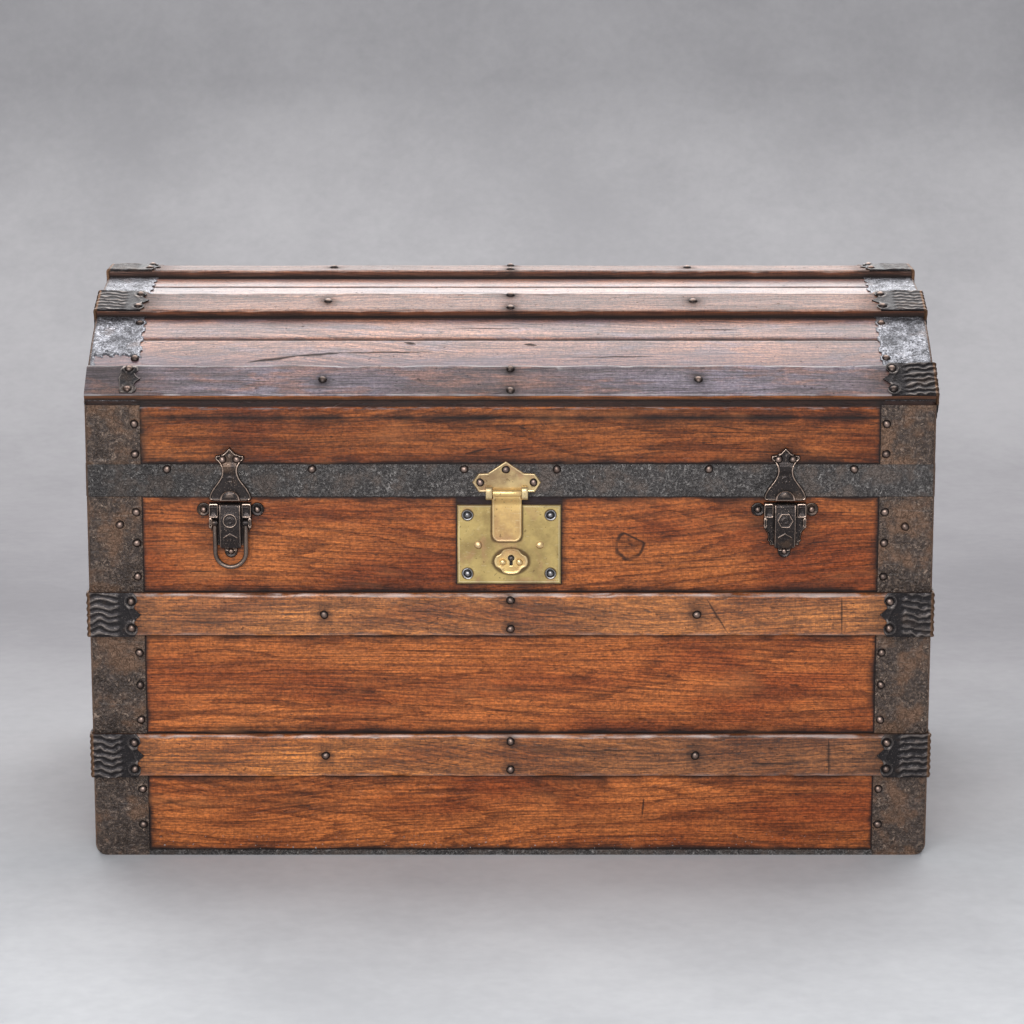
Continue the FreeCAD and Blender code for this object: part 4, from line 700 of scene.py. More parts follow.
def board_material(name, along_x):
    """Stained pine with its grain along X or along Y, painted lighter to the right and darker higher up, with
    dirt and painted shade along the edges of slats and irons.
    """
    made, net = new_material(name)
    at = net.place()
    x, y, z = net.parts(at)
    board = z > LOW_SLAT_Z
    upper = z > HIGH_SLAT_Z
    lid = z > SEAM_Z
    shift = board * 3.1 + upper * 2.3 + lid * 4.7
    depth = (y if along_x else x) * 0.35 + shift
    flat = net.vector((x if along_x else y) + shift, z, depth)
    wood = net.group(wood_grain, {"At": flat, "Ring count": 6.0, "Wander": 1.0})
    base = net.mix(net.ramp(wood["Cloud"], 0.34, 0.66), (0.29, 0.065, 0.017), (0.56, 0.168, 0.043))
    tone = net.mix(wood["Rings"] * 0.62, base, (0.125, 0.028, 0.009))
    streak = net.mix(net.ramp(wood["Fibres"], 0.40, 0.60), (0.44, 0.43, 0.50), (1.34, 1.32, 1.28))
    colour = speckled(net, net.product(tone, streak), flat)
    specks = net.patches(flat, (120.0, 330.0, 330.0), 0.66, 0.71, detail=2.0)
    colour = net.mix(specks * 0.6, colour, (0.03, 0.012, 0.008))
    # Painted light: the boards get lighter to the right, and the upper board and the lid darker.
    painted_light_gain = board * 0.02 + upper * -0.1 + lid * -0.22
    painted_light_gain = painted_light_gain + 0.9 + x * 0.16
    colour = net.product(colour, net.vector(painted_light_gain, painted_light_gain, painted_light_gain))
    gap = body_edges(net, x if along_x else abs(y) + (IRON_REACH - END_IRON_REACH), z)
    # Dirt and painted shade: a dark line along the edges of slats, irons, band and foot, and a wide painted
    # shade about them.
    grime_and_shade = grime_and_shade_mask(net, gap, 0.008, at)
    wide = grime_and_shade_mask(net, gap, 0.032, at)
    line = net.ramp(gap, 2.4 * MM, 1.2 * MM)
    dirt_and_shade = net.most([grime_and_shade + wide * 0.22, line * 0.95])
    colour = net.mix(dirt_and_shade, colour, (0.014, 0.007, 0.006))
    rubbed = net.patches(at, (9.0, 9.0, 24.0), 0.56, 0.76, detail=4.0)
    colour = net.mix(rubbed * 0.25, colour, (0.6, 0.23, 0.08))
    patch = net.patches(at, (6.0, 6.0, 15.0), 0.6, 0.74, detail=5.0, rough=0.65)
    colour = net.mix(patch * 0.45, colour, (0.045, 0.014, 0.008))
    if along_x:
        colour = board_marks(net, colour, at, x, y, z)
    inside_x = abs(x) < INSIDE_L
    inside_y = abs(y) < INSIDE_D
    raw = net.mix(wood["Cloud"], (0.36, 0.21, 0.10), (0.58, 0.38, 0.21))
    raw = net.mix(wood["Rings"] * 0.35, raw, (0.3, 0.16, 0.07))
    colour = net.mix(inside_x * inside_y, colour, raw)
    rough = net.ramp(wood["Fibres"], 0.4, 0.6, 0.46, 0.34) + dirt_and_shade * 0.2
    normal = net.bump(wood["Height"], 0.0006, 0.8)
    net.finish(Base_Color=colour, Roughness=rough, Normal=normal, Specular_IOR_Level=0.28)
    return made


stained_x = board_material("stained_boards", True)
stained_y = board_material("stained_boards_ends", False)
print("stained boards", len(stained_x.node_tree.nodes), "nodes")

# %% [markdown]
# Slats are oak, hard and long in the grain, darker where hands and straps have been. A slat's mesh carries
# its own grain coordinates, so the grain follows the slat round the dome, and a value along its rounded edges
# for their wear and a painted highlight; on the narrow faces the same value gives them a colour of their own,
# which paints how light falls on them.

# %% Materials: oak slats and dome wood
SLAT_SCRATCHES = (
    (199.6, 274.3, 221.5, 238.6, 1.7), (337.4, 276.4, 338.2, 237.5, 1.5), (327.0, 126.2, 327.8, 87.7, 2.0),
    (-120, 262, -60, 260, 1.2), (60, 113, 130, 115, 1.3), (240, 101, 300, 99, 1.2),
)
DOME_CRACKS = (
    (-268, -32.6, -213, -31.0, 2.6), (-222, -31.2, -170, -30.3, 2.2), (-180, -30.4, -80, -30.2, 1.5),
    (14, -28.3, 27, -28.6, 2.6), (-109, -27.8, -97, -28.3, 2.8), (60, -31.6, 150, -31.2, 1.1),
    (190, -24.6, 236, -24.4, 1.2), (-60, -24.0, 10, -24.3, 1.0),
)


def front_slat_marks(net, colour):
    """Scratches and a crack on the two front slats; the lower slat's right half is the darkest."""
    x, y, z = net.parts(net.place())
    front = y < FRONT_Y
    between_slats = 160.0 * MM
    low = front * (z < between_slats)
    shade = low * net.ramp(x + net.noise(net.place(), 20.0) * 0.1, 0.0, 0.25)
    colour = net.mix(shade * 0.68, colour, net.product(colour, (0.42, 0.44, 0.66)))
    light = low * net.ramp(x, -0.05, -0.25)
    colour = net.mix(light, colour, net.product(colour, (1.24, 1.18, 1.0)))
    marks = strokes(net, net.vector(x, z, 0.0), SLAT_SCRATCHES)
    marks = net.most(marks) * front
    return net.mix(marks * 0.9, colour, (0.02, 0.012, 0.01)), marks


def dome_marks(net, colour):
    """Cracks and nicks on the dome's front, placed by x in mm and by the angle from the dome's top, a greyish
    violet painted reflection over the dome's front, and bare wood inside.
    """
    x, y, z = net.parts(net.place())
    turn = net.math("ARCTAN2", y, z - DOME_Z)
    flat = net.vector(x, turn * DOME_R, 0.0)
    degree = math.radians(1.0) * DOME_R / MM
    marks = strokes(net, flat, [(x0, a0 * degree, x1, a1 * degree, width)
                                for x0, a0, x1, a1, width in DOME_CRACKS])
    # Painted reflection: the dome's front, more than about 24 to 29 degrees forward of its top, is tinted
    # greyish violet.
    painted_reflection = net.ramp(turn + net.noise(flat, (6.0, 40.0, 0.0), detail=4.0) * 0.16, math.radians(-24.0),
                    math.radians(-29.0))
    colour = net.mix(painted_reflection * 0.55, colour, (0.135, 0.095, 0.125))
    marks = net.math("POWER", net.most(marks), 0.6)
    colour = net.mix(marks, colour, (0.006, 0.004, 0.004))
    inside = from_axis(net, y, z) < DOME_R - 5.0 * MM
    bare = net.mix(net.noise(net.carried("grain"), (9.0, 260.0, 200.0), detail=4.0, rough=0.7),
                   (0.34, 0.19, 0.095), (0.58, 0.38, 0.21))
    return net.mix(inside, colour, bare), net.most([marks, inside])


def slat_material(name, light, dark, edge, flank, shine, polish, relief=0.0006, marks=None, blotch=None):
    """Oak with short dark pores; light and dark are its browns, edge the pale colour of its worn corners,
    which is partly a painted highlight, and flank the colour of its narrow faces, set apart as painted light.
    """
    made, net = new_material(name)
    at = net.carried("grain")
    worn = net.carried("wear_and_highlight", "Fac")
    wear_and_highlight = net.math("MULTIPLY", worn, 1.0, clamp=True)
    side = net.math("MULTIPLY", worn, -1.0, clamp=True)
    stain_and_shade = net.carried("stain_and_shade", "Fac")
    wood = net.group(wood_grain, {"At": at, "Ring count": 11.0, "Wander": 1.4})
    tone = net.mix(net.ramp(wood["Cloud"], 0.34, 0.66), dark, light)
    tone = net.mix(wood["Rings"] * 0.45, tone, darker(dark, 0.5))
    streak = net.mix(net.ramp(wood["Fibres"], 0.40, 0.60), (0.40, 0.37, 0.38), (1.38, 1.38, 1.36))
    colour = net.product(tone, streak)
    if blotch:
        patch = net.patches(at, (15.0, 62.0, 62.0), 0.49, 0.62, detail=5.0, rough=0.68, distortion=0.4)
        colour = net.mix(patch * 0.62, colour, net.product(blotch, streak))
    colour = speckled(net, colour, at)
    colour = net.mix(wood["Pores"] * 0.55, colour, (0.035, 0.018, 0.012))
    dots = net.patches(at, (170.0, 260.0, 260.0), 0.66, 0.72, detail=2.0)
    colour = net.mix(dots * 0.7, colour, darker(dark, 0.22))
    smudge = net.patches(at, (24.0, 70.0, 70.0), 0.55, 0.7, detail=5.0, rough=0.66)
    colour = net.mix(smudge * 0.55, colour, darker(light, 0.28))
    dull = net.most([stain_and_shade * 0.9, side * 0.6, dots * 0.7])
    if marks:
        colour, mask = marks(net, colour)
        dull = net.most([dull, mask])
    # Painted light: the narrow faces take the flank colour.
    colour = net.mix(side, colour, net.product(flank, streak))
    # Stains and painted shade: this value darkens the colour almost to black.
    colour = net.mix(stain_and_shade, colour, (0.010, 0.006, 0.005))
    # Partly wear, partly painted highlight: the rounded top corners are paled towards the edge colour.
    rubbed = wear_and_highlight * net.patches(at, (30.0, 90.0, 90.0), 0.36, 0.54, detail=4.0)
    colour = net.mix(rubbed * 0.85, colour, edge)
    rough = net.ramp(wood["Fibres"], 0.4, 0.6, shine + 0.1, shine - 0.04) + wear_and_highlight * -0.08
    rough = rough + dull * 0.5
    coat = net.rest(dull) * polish
    normal = net.bump(wood["Height"], relief, 0.9)
    net.finish(Base_Color=colour, Roughness=rough, Normal=normal, Coat_Weight=coat, Coat_Roughness=0.30)
    return made


oak = slat_material("oak_slats", (0.51, 0.180, 0.045), (0.24, 0.068, 0.016), (0.66, 0.56, 0.52),
                    (0.24, 0.08, 0.022), 0.36, 0.2, marks=front_slat_marks)
dome_oak = slat_material("dome_slats", (0.36, 0.155, 0.090), (0.17, 0.072, 0.048), (0.60, 0.46, 0.38),
                         (0.16, 0.045, 0.013), 0.40, 0.3)
# Painted reflection: the front dome slat's greyish violet browns stand in for light reflected off it; its
# blotches are its own brown.
reflection_tinted_oak = slat_material("front_dome_slat_painted_reflection", (0.185, 0.150, 0.185), (0.115, 0.066, 0.066), (0.62, 0.56, 0.54),
                         (0.36, 0.115, 0.026), 0.36, 0.4, 0.0005, blotch=(0.30, 0.135, 0.090))
dome_wood = slat_material("dome_wood", (0.47, 0.205, 0.125), (0.21, 0.105, 0.092), (0.05, 0.02, 0.012),
                          (0.20, 0.07, 0.03), 0.33, 0.9, 0.00035, dome_marks, (0.20, 0.145, 0.175))
print("oak")


# %% [markdown]
# The metals: nearly black sheet iron with rust, blacker castings with rubbed edges, and brass that has gone
# brown in its hollows. The castings carry how high each point stands, so their raised lines are rubbed
# bright. The embossed irons are painted darker towards the left end, and the lock's brass carries painted
# shadows and a painted highlight.

# %% Materials: irons and brass
def corner_rim(net, at):
    """Where a sheet turns the trunk's corner: near an end, and near the front, the back or the dome."""
    x, y, z = net.parts(at)
    end = net.ramp(abs(x), HALF_L - 2.8 * MM, HALF_L - 1.0 * MM)
    flat = abs(y) - WOOD_D
    curved = from_axis(net, y, z) - DOME_R
    return end * net.ramp(net.math("MAXIMUM", flat, curved), -3.0 * MM, -1.0 * MM)


def iron_material(name, dark, rust, rust_share, bright, metal, rough=(0.38, 0.6)):
    """Iron whose paint is dark, with a share of rust, and bright metal on scratches and specks."""
    made, net = new_material(name)
    at = net.place()
    skin = net.group(iron_skin, {"At": at})
    colour = net.mix(net.ramp(skin["Mottle"], 0.62 - rust_share * 0.4, 0.72 - rust_share * 0.25), dark, rust)
    colour = net.mix(skin["Scratches"] * 0.3, colour, bright)
    colour = net.mix(skin["Specks"] * 0.5, colour, bright)
    roughness = net.ramp(skin["Mottle"], 0.35, 0.7, rough[0], rough[1])
    normal = net.bump(skin["Height"], 0.5 * MM, 0.8)
    net.finish(Base_Color=colour, Roughness=roughness, Normal=normal, Metallic=metal)
    return made


def worn_metal(name, dark, bright, rust, start, end, rough=(0.44, 0.27), relief=0.0007, pits=0.0, folds=0.0):
    """Metal whose pieces carry how high each point stands: dark hollows, and raised lines rubbed bright."""
    made, net = new_material(name)
    at = net.place()
    height = net.carried("pressing", "Fac")
    skin = net.group(iron_skin, {"At": at})
    pitted = (net.noise(at, 420.0, detail=2.0) - 0.5) * pits
    raised = height + pitted + skin["Mottle"] * 0.5
    bumps = skin["Height"]
    if folds:
        fold = abs(net.noise(at, 130.0, detail=2.5, distortion=1.6) - 0.5)
        fold = net.ramp(fold, 0.0, 0.05, 1.0, 0.0) * folds
        raised = raised + fold
        bumps = bumps + fold
    worn = net.ramp(raised, start, end)
    colour = net.mix(worn, dark, bright)
    colour = net.mix(net.ramp(skin["Mottle"], 0.55, 0.68, 0.0, 0.5), colour, rust)
    colour = net.mix(skin["Specks"] * 0.5, colour, bright)
    colour = net.mix(corner_rim(net, at) * 0.7, colour, (0.2, 0.105, 0.055))
    net.finish(Base_Color=colour, Roughness=net.ramp(worn, 0.0, 1.0, rough[0], rough[1]), Metallic=0.85,
               Normal=net.bump(bumps, relief, 0.9))
    return made


def brass_material(name, yellow, brown, metal):
    """Brass: yellow where it is rubbed, brown in patches, with fine scratches; dark brown where plates meet,
    from dirt and painted shadow, and a painted highlight along the lock plate's edge.
    """
    made, net = new_material(name)
    at = net.place()
    x, y, z = net.parts(at)
    skin = net.group(iron_skin, {"At": net.vectors("MULTIPLY", at, (0.6, 0.6, 0.6))})
    colour = net.mix(net.ramp(skin["Mottle"], 0.42, 0.66), yellow, brown)
    blush = net.patches(at, (45.0, 45.0, 32.0), 0.5, 0.66, detail=4.0, rough=0.6, distortion=0.6)
    colour = net.mix(blush * 0.45, colour, (0.5, 0.26, 0.15))
    scratch = net.patches(at, (200.0, 200.0, 900.0), 0.66, 0.7, detail=1.0, distortion=0.5)
    colour = net.mix(scratch * 0.25, colour, (0.92, 0.8, 0.52))
    colour = net.mix(net.patches(at, 240.0, 0.68, 0.72, detail=1.0) * 0.5, colour, (0.12, 0.07, 0.03))
    gap_x = LOCK_HALF_W - abs(x + LOCK_LEFT)
    gap_z = LOCK_HALF_H - abs(z - LOCK_Z)
    gap = abs(net.math("MINIMUM", gap_x, gap_z))
    # Dirt and painted shade along the lock plate's edge.
    rims = [grime_and_shade_mask(net, gap, 3.0 * MM, at)]
    flat = net.vector(x, z, 0.0)
    # Painted shadows: dark rings round the keyhole plate and the screws.
    for (place, height), (wide, tall) in (KEYHOLE, *((screw, (5.6, 5.6)) for screw in LOCK_SCREWS)):
        away = net.vectors("SUBTRACT", flat, (place * MM, height * MM, 0.0))
        round_gap = net.vectors("LENGTH", net.vectors("MULTIPLY", away, (1 / wide, 1 / tall, 0.0)))
        rims.append(net.ramp(round_gap, 1.24 * MM, 1.05 * MM))
    # Painted shadow: a soft dark ring round the hasp's leaf, fainter under it.
    leaf_x = abs(x + HASP_LEFT) - 15.3 * MM
    leaf_gap = net.math("SMOOTH_MAX", leaf_x, LEAF_FOOT - z, 12.0 * MM)
    leaf_shadow = net.ramp(leaf_gap, 2.6 * MM, 0.4 * MM)
    rims.append(leaf_shadow * net.ramp(leaf_gap, -4.0 * MM, -0.4 * MM, 0.12, 1.0))
    on_plate = net.ramp(y, FRONT_Y - 2.0 * MM, FRONT_Y - 1.7 * MM)
    dirt_and_shade = net.most(rims) * on_plate
    # Painted highlight: a bright line just inside the lock plate's edge.
    painted_edge_highlight = net.ramp(abs(gap - 1.9 * MM), 0.9 * MM, 0.2 * MM)
    colour = net.mix(painted_edge_highlight * on_plate * 0.5, colour, (1.0, 0.86, 0.52))
    colour = net.mix(dirt_and_shade * 0.85, colour, (0.085, 0.05, 0.026))
    colour = net.mix(net.carried("pressing", "Fac") * 0.5, colour, (0.92, 0.74, 0.42))
    net.finish(Base_Color=colour, Roughness=net.ramp(skin["Mottle"], 0.35, 0.7, 0.27, 0.42), Metallic=metal,
               Normal=net.bump(skin["Height"], 0.0004, 0.6))
    return made


def embossed_material(name, dark, high, rust, left=0.92, middle=1.02):
    """Sheet iron rolled with a leathery grain: fine curling creases, worn brighter on their backs; painted
    light makes it lighter from its left end (left) to the middle (middle).
    """
    made, net = new_material(name)
    at = net.place()
    skin = net.group(iron_skin, {"At": at})
    curl = abs(net.noise(at, 120.0, detail=2.5, distortion=1.4) - 0.5)
    crease = net.ramp(curl, 0.0, 0.045, 1.0, 0.0)
    grain = net.noise(at, 380.0, detail=3.0, rough=0.6)
    height = crease * 0.45 + grain * 0.75
    worn = net.ramp(crease * 0.34 + grain, 0.46, 0.86)
    colour = net.mix(worn, dark, high)
    colour = net.mix(net.ramp(skin["Mottle"], 0.47, 0.62, 0.0, 0.7), colour, rust)
    colour = net.mix(net.ramp(skin["Mottle"], 0.43, 0.34, 0.0, 0.5), colour, darker(dark, 0.5))
    # Painted light: the iron is darker at the left end and lightens towards the middle.
    painted_light_gain = net.ramp(net.parts(at)[0], -HALF_L, 0.0, left, middle)
    colour = net.product(colour, net.vector(painted_light_gain, painted_light_gain, painted_light_gain))
    colour = net.mix(skin["Specks"] * 0.16, colour, (0.42, 0.38, 0.35))
    colour = net.mix(skin["Scratches"] * 0.14, colour, (0.4, 0.36, 0.33))
    colour = net.mix(corner_rim(net, at) * 0.6, colour, (0.24, 0.13, 0.075))
    net.finish(Base_Color=colour, Roughness=net.ramp(skin["Mottle"], 0.3, 0.7, 0.36, 0.50), Metallic=0.55,
               Normal=net.bump(height, 0.0024, 1.0))
    return made


sheet_iron = embossed_material("sheet_iron", (0.062, 0.045, 0.038), (0.340, 0.250, 0.195),
                               (0.240, 0.135, 0.082))
band_iron = embossed_material("band_iron", (0.048, 0.043, 0.042), (0.290, 0.270, 0.255),
                              (0.130, 0.100, 0.084), 0.78, 1.12)
pressed_iron = worn_metal("pressed_iron", (0.075, 0.074, 0.081), (0.50, 0.50, 0.54), (0.17, 0.125, 0.105),
                          0.20, 1.20, relief=0.0013, pits=0.7, folds=0.5)
castings = worn_metal("black_castings", (0.028, 0.025, 0.026), (0.30, 0.255, 0.23), (0.075, 0.052, 0.04),
                      0.68, 1.55, (0.38, 0.30), 0.0007)
catch_iron = worn_metal("catch_castings", (0.036, 0.030, 0.029), (0.66, 0.49, 0.39), (0.15, 0.092, 0.060),
                        0.66, 1.42, (0.34, 0.27), 0.0005)
nail_iron = worn_metal("nail_iron", (0.038, 0.030, 0.028), (0.38, 0.27, 0.22), (0.14, 0.08, 0.058), 0.50, 1.5,
                       (0.42, 0.33), 0.0004)
screw_iron = worn_metal("screw_iron", (0.030, 0.031, 0.036), (0.30, 0.29, 0.29), (0.10, 0.08, 0.07), 0.35,
                        1.15, (0.36, 0.28), 0.0003)
brass = brass_material("brass", (0.64, 0.470, 0.180), (0.36, 0.255, 0.105), 0.85)
hasp_brass = brass_material("hasp_brass", (0.86, 0.58, 0.225), (0.48, 0.29, 0.130), 0.70)
plate_brass = brass_material("plate_brass", (0.70, 0.52, 0.25), (0.32, 0.21, 0.11), 0.75)
steel = iron_material("steel", (0.30, 0.29, 0.28), (0.16, 0.11, 0.08), 0.3, (0.6, 0.58, 0.55), 0.95)
leather = iron_material("leather", (0.075, 0.038, 0.022), (0.14, 0.068, 0.036), 0.5, (0.26, 0.15, 0.09), 0.0,
                        (0.45, 0.62))
print("metals")

# %% [markdown]
# Pieces whose CAD shape is right stay, and only their sharp edges are softened: each triangle of the CAD mesh
# is loose, so a Weld joins them first, and a Bevel then rounds the edges that turn sharply.

# %% CAD pieces that stay
def dress(names, material, rounding=0.0):
    """Gives CAD nodes their material and, if wanted, rounded edges."""
    for name in names:
        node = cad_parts[name]
        node.data.materials.clear()
        node.data.materials.append(material)
        if rounding:
            weld = node.modifiers.new("weld", "WELD")
            weld.merge_threshold = 0.01 * MM
            bevel = node.modifiers.new("bevel", "BEVEL")
            bevel.width = rounding
            bevel.segments = 2
            bevel.limit_method = "ANGLE"
            bevel.angle_limit = math.radians(32)
            flat = node.modifiers.new("flat_faces", "WEIGHTED_NORMAL")
            flat.keep_sharp = True
    print("dressed", len(names))


dress(["front_boards", "back_boards", "lid_front_boards", "lid_back_boards"], stained_x, 0.0007)
dress(["end_boards_left", "end_boards_right", "lid_end_boards_left", "lid_end_boards_right"],
      stained_y, 0.0007)
dress(["bottom_boards"], stained_x, 0.0005)
dress(["corner_iron_front_left", "corner_iron_front_right", "corner_irons_back", "lid_corner_irons"],
      sheet_iron)
dress(["lid_band", "bottom_edge_iron"], band_iron)
dress(["hinge_body_leaves", "hinge_lid_leaves", "handle_caps_left", "handle_caps_right"], castings, 0.0006)
dress(["lock_plate"], brass)
dress(["hinge_pins", "catch_pins"], nail_iron)
dress(["hasp_pin"], brass)
dress(["lock_case", "lock_spring", "lock_bolt"], steel, 0.0003)
dress(["handle_strap_left", "handle_strap_right"], leather, 0.0012)

# %% [markdown]
# A slat is a bar of oak, planed once and knocked ever since. Its cross-section is a ring of points carried
# along it. The two upper corners are round, and the rounding grows and shrinks along the slat, with a few
# deeper knocks.

# %% Slats
def slat_bar(half_length, width, seed, under, raised, raise_from, rows=240):
    """A ring of points (y, z) carried along x. Below, z = under(y), raised by an iron's thickness past
    raise_from.

    Above, z = thickness less a corner radius r(x) turned through a quarter circle, where r wanders with x and
    the knocks are soft hills at random places. The grain coordinates are x, y and z themselves, moved by a
    number.
    """
    rng = np.random.default_rng(seed)
    x = np.linspace(-half_length, half_length, rows)
    half = width / 2
    corners = {-1.0: 1.9 * MM, 1.0: 1.7 * 1.9 * MM}
    sides = []
    for side in (-1.0, 1.0):
        knocks = sum(
            rng.uniform(0.3, 1.0) * hill(x - rng.uniform(-half_length, half_length), rng.uniform(3, 9) * MM)
            for _ in range(12)
        )
        wander = 0.3 * ripple(x, x * 0 + side, 0.09, seed + int(side))
        r = corners[side] * (1.0 + wander + 0.7 * knocks)
        sides.append(np.clip(r, 0.5 * MM, 5.5 * MM))
    sag = 0.25 * MM * ripple(x, x * 0, 0.2, seed + 5)
    turns = np.linspace(0.0, math.pi / 2, 5)
    lifted = raised * smooth(raise_from - 1 * MM, raise_from + 1 * MM, np.abs(x))
    below, top = under(half) + lifted, SLAT_T + sag
    ring = []

    def point(y, z, worn):
        """The ring's next point: its place across and upward, and how worn it is, which also sets a painted
        highlight, -1 on the narrow faces.
        """
        ring.append((y + 0 * x, z + 0 * x, worn + 0 * x))

    for share in np.linspace(-1.0, 1.0, 9):
        point(share * half, under(share * half) + lifted, -1.0)
    point(half, below + 0.24 * (top - sides[1] - below), -1.0)
    for turn in turns:
        worn = -1.0 if turn == 0 else 0.3 + 0.7 * np.sin(2 * turn)
        point(half - sides[1] * (1 - np.cos(turn)), top - sides[1] * (1 - np.sin(turn)), worn)
    for share in np.linspace(0.8, -0.8, 7):
        point(share * half, top + 0.12 * MM * ripple(x, x * 0 + share * half, 0.05, seed + 9), 0.0)
    for turn in turns[::-1]:
        worn = -1.0 if turn == 0 else 0.5 * (0.3 + 0.7 * np.sin(2 * turn))
        point(-half + sides[0] * (1 - np.cos(turn)), top - sides[0] * (1 - np.sin(turn)), worn)
    point(-half, below + 0.24 * (top - sides[0] - below), -1.0)
    across, upward, worn = (np.stack(part, 1) for part in zip(*ring))
    return np.broadcast_to(x[:, None], across.shape), across, upward, worn


def slat_shape(seat, bar, seed, stain_and_shade=None):
    """The bar put on its seat, with its grain, its values for wear and a painted highlight, and its values
    for stains and painted shade.
    """
    x, y, z, worn = bar
    points, faces = tube(seat.put(x, y, z))
    ends = np.array([[x[0].mean(), y[0].mean(), z[0].mean()], [x[-1].mean(), y[-1].mean(), z[-1].mean()]])
    flat = np.concatenate([np.stack([x, y, z], -1).reshape(-1, 3), ends])
    grain = flat + np.array([seed * 1.7, seed * 0.31, 0.0])
    wear_and_highlight = np.concatenate([worn.ravel(), [-1.0, -1.0]])
    wear_and_highlight = np.where(wear_and_highlight > 0, wear_and_highlight * (0.6 + 0.4 * ripple(flat[:, 0], flat[:, 1], 0.03, seed + 2)), wear_and_highlight)
    dark = np.zeros(len(flat)) if stain_and_shade is None else stain_and_shade(flat[:, 0], flat[:, 1])
    # Painted shade: the underside and the lower part of both narrow faces are darkened almost to black, where
    # the slat meets the boards.
    underside_shade = np.zeros(x.shape)
    underside_shade[:, list(range(10)) + [-1]] = 0.97
    dark = np.maximum(dark, np.concatenate([underside_shade.ravel(), [0.0, 0.0]]))
    return (points, faces), grain, np.clip(wear_and_highlight, -1.0, 1.0), np.clip(dark, 0.0, 1.0)


def flat_under(y):
    return 0.0 * y


def dome_under(y):
    """The dome's surface below its highest point, at a distance across."""
    return math.sqrt(DOME_R ** 2 - y * y) - DOME_R


def several_slats(name, seats, bars, material, body, node, stain_and_shade=None):
    """One piece from several slats."""
    made = []
    for number, (seat, bar) in enumerate(zip(seats, bars), len(name)):
        made.append(slat_shape(seat, bar, number, stain_and_shade))
    shapes, *layers = zip(*made)
    carried = [(label, np.concatenate(values)) for label, values in zip(("grain", "wear_and_highlight", "stain_and_shade"), layers)]
    add_piece(name, joined(shapes), material, body, (node,), carried, 50.0)


def nail_stains(x, y):
    """Dark halos round the slat's nails and darker ends under the clamps."""
    dark = 0.0
    for place, across in ((-190, 0), (190, 0), (0, 15), (0, -15)):
        dark = dark + 0.95 * hill(np.hypot(x - place * MM, 0.9 * (y - across * MM)), 8.5 * MM)
    dark = dark + 0.5 * smooth(0.350, 0.385, np.abs(x))
    return dark


def back_seat(height):
    """A seat on the back boards."""
    return Seat((0.0, WOOD_D, height), (-1, 0, 0), (0, 0, 1), (0, 1, 0))


body_bar = [slat_bar(SLAT_HALF, SLAT_W, 11 + k, flat_under, IRON_T, IRON_REACH) for k in range(4)]
for name, seats, bars, node in (
    ("oak_slat_lower", [front_seat(LOW_SLAT_Z)], body_bar[:1], "front_slat_lower"),
    ("oak_slat_upper", [front_seat(HIGH_SLAT_Z)], body_bar[1:2], "front_slat_upper"),
    ("oak_slats_back", [back_seat(LOW_SLAT_Z), back_seat(HIGH_SLAT_Z)], body_bar[2:], "back_slats"),
):
    several_slats(name, seats, bars, oak, "trunk_body", node, nail_stains)
end_half = limits("end_slats")[1][1]
end_seats = []
for side in (-1, 1):
    for height in (LOW_SLAT_Z, HIGH_SLAT_Z):
        end_seats.append(Seat((side * WOOD_L, 0.0, height), (0, side, 0), (0, 0, 1), (side, 0, 0)))
end_bars = [slat_bar(end_half, SLAT_W, 31 + k, flat_under, 0.0, 1.0, rows=120) for k in range(4)]
several_slats("oak_slats_ends", end_seats, end_bars, oak, "trunk_body", "end_slats")
dome_bar = [slat_bar(SLAT_HALF, DOME_SLAT_W, 51 + k, dome_under, 1.0 * MM, HALF_L - EDGE_SHEET_W)
            for k in range(5)]
for number, node in enumerate(("dome_slat_front", "dome_slat_front_upper", "dome_slat_top")):
    several_slats(node.replace("dome_slat", "oak_dome_slat"), [dome_seat(DOME_SLAT_TURNS[number])],
                  dome_bar[number:number + 1], dome_oak if number else reflection_tinted_oak, "lid", node, nail_stains)
several_slats("oak_dome_slats_back", [dome_seat(turn) for turn in DOME_SLAT_TURNS[3:]], dome_bar[3:],
              dome_oak, "lid", "dome_slats_back", nail_stains)

# %% [markdown]
# A clamp is pressed sheet: it lies on the slat's end, its lips hold the slat's edges, and a tongue goes down
# the trunk's end. The sheet's path is straight, then a small quarter circle, then straight down. Ridges run
# along the path and round the corner; near the point they give way to a raised ring about each nail.

# %% Slat clamps
NAIL_IN, NAIL_ASIDE = 44 * MM, 14 * MM


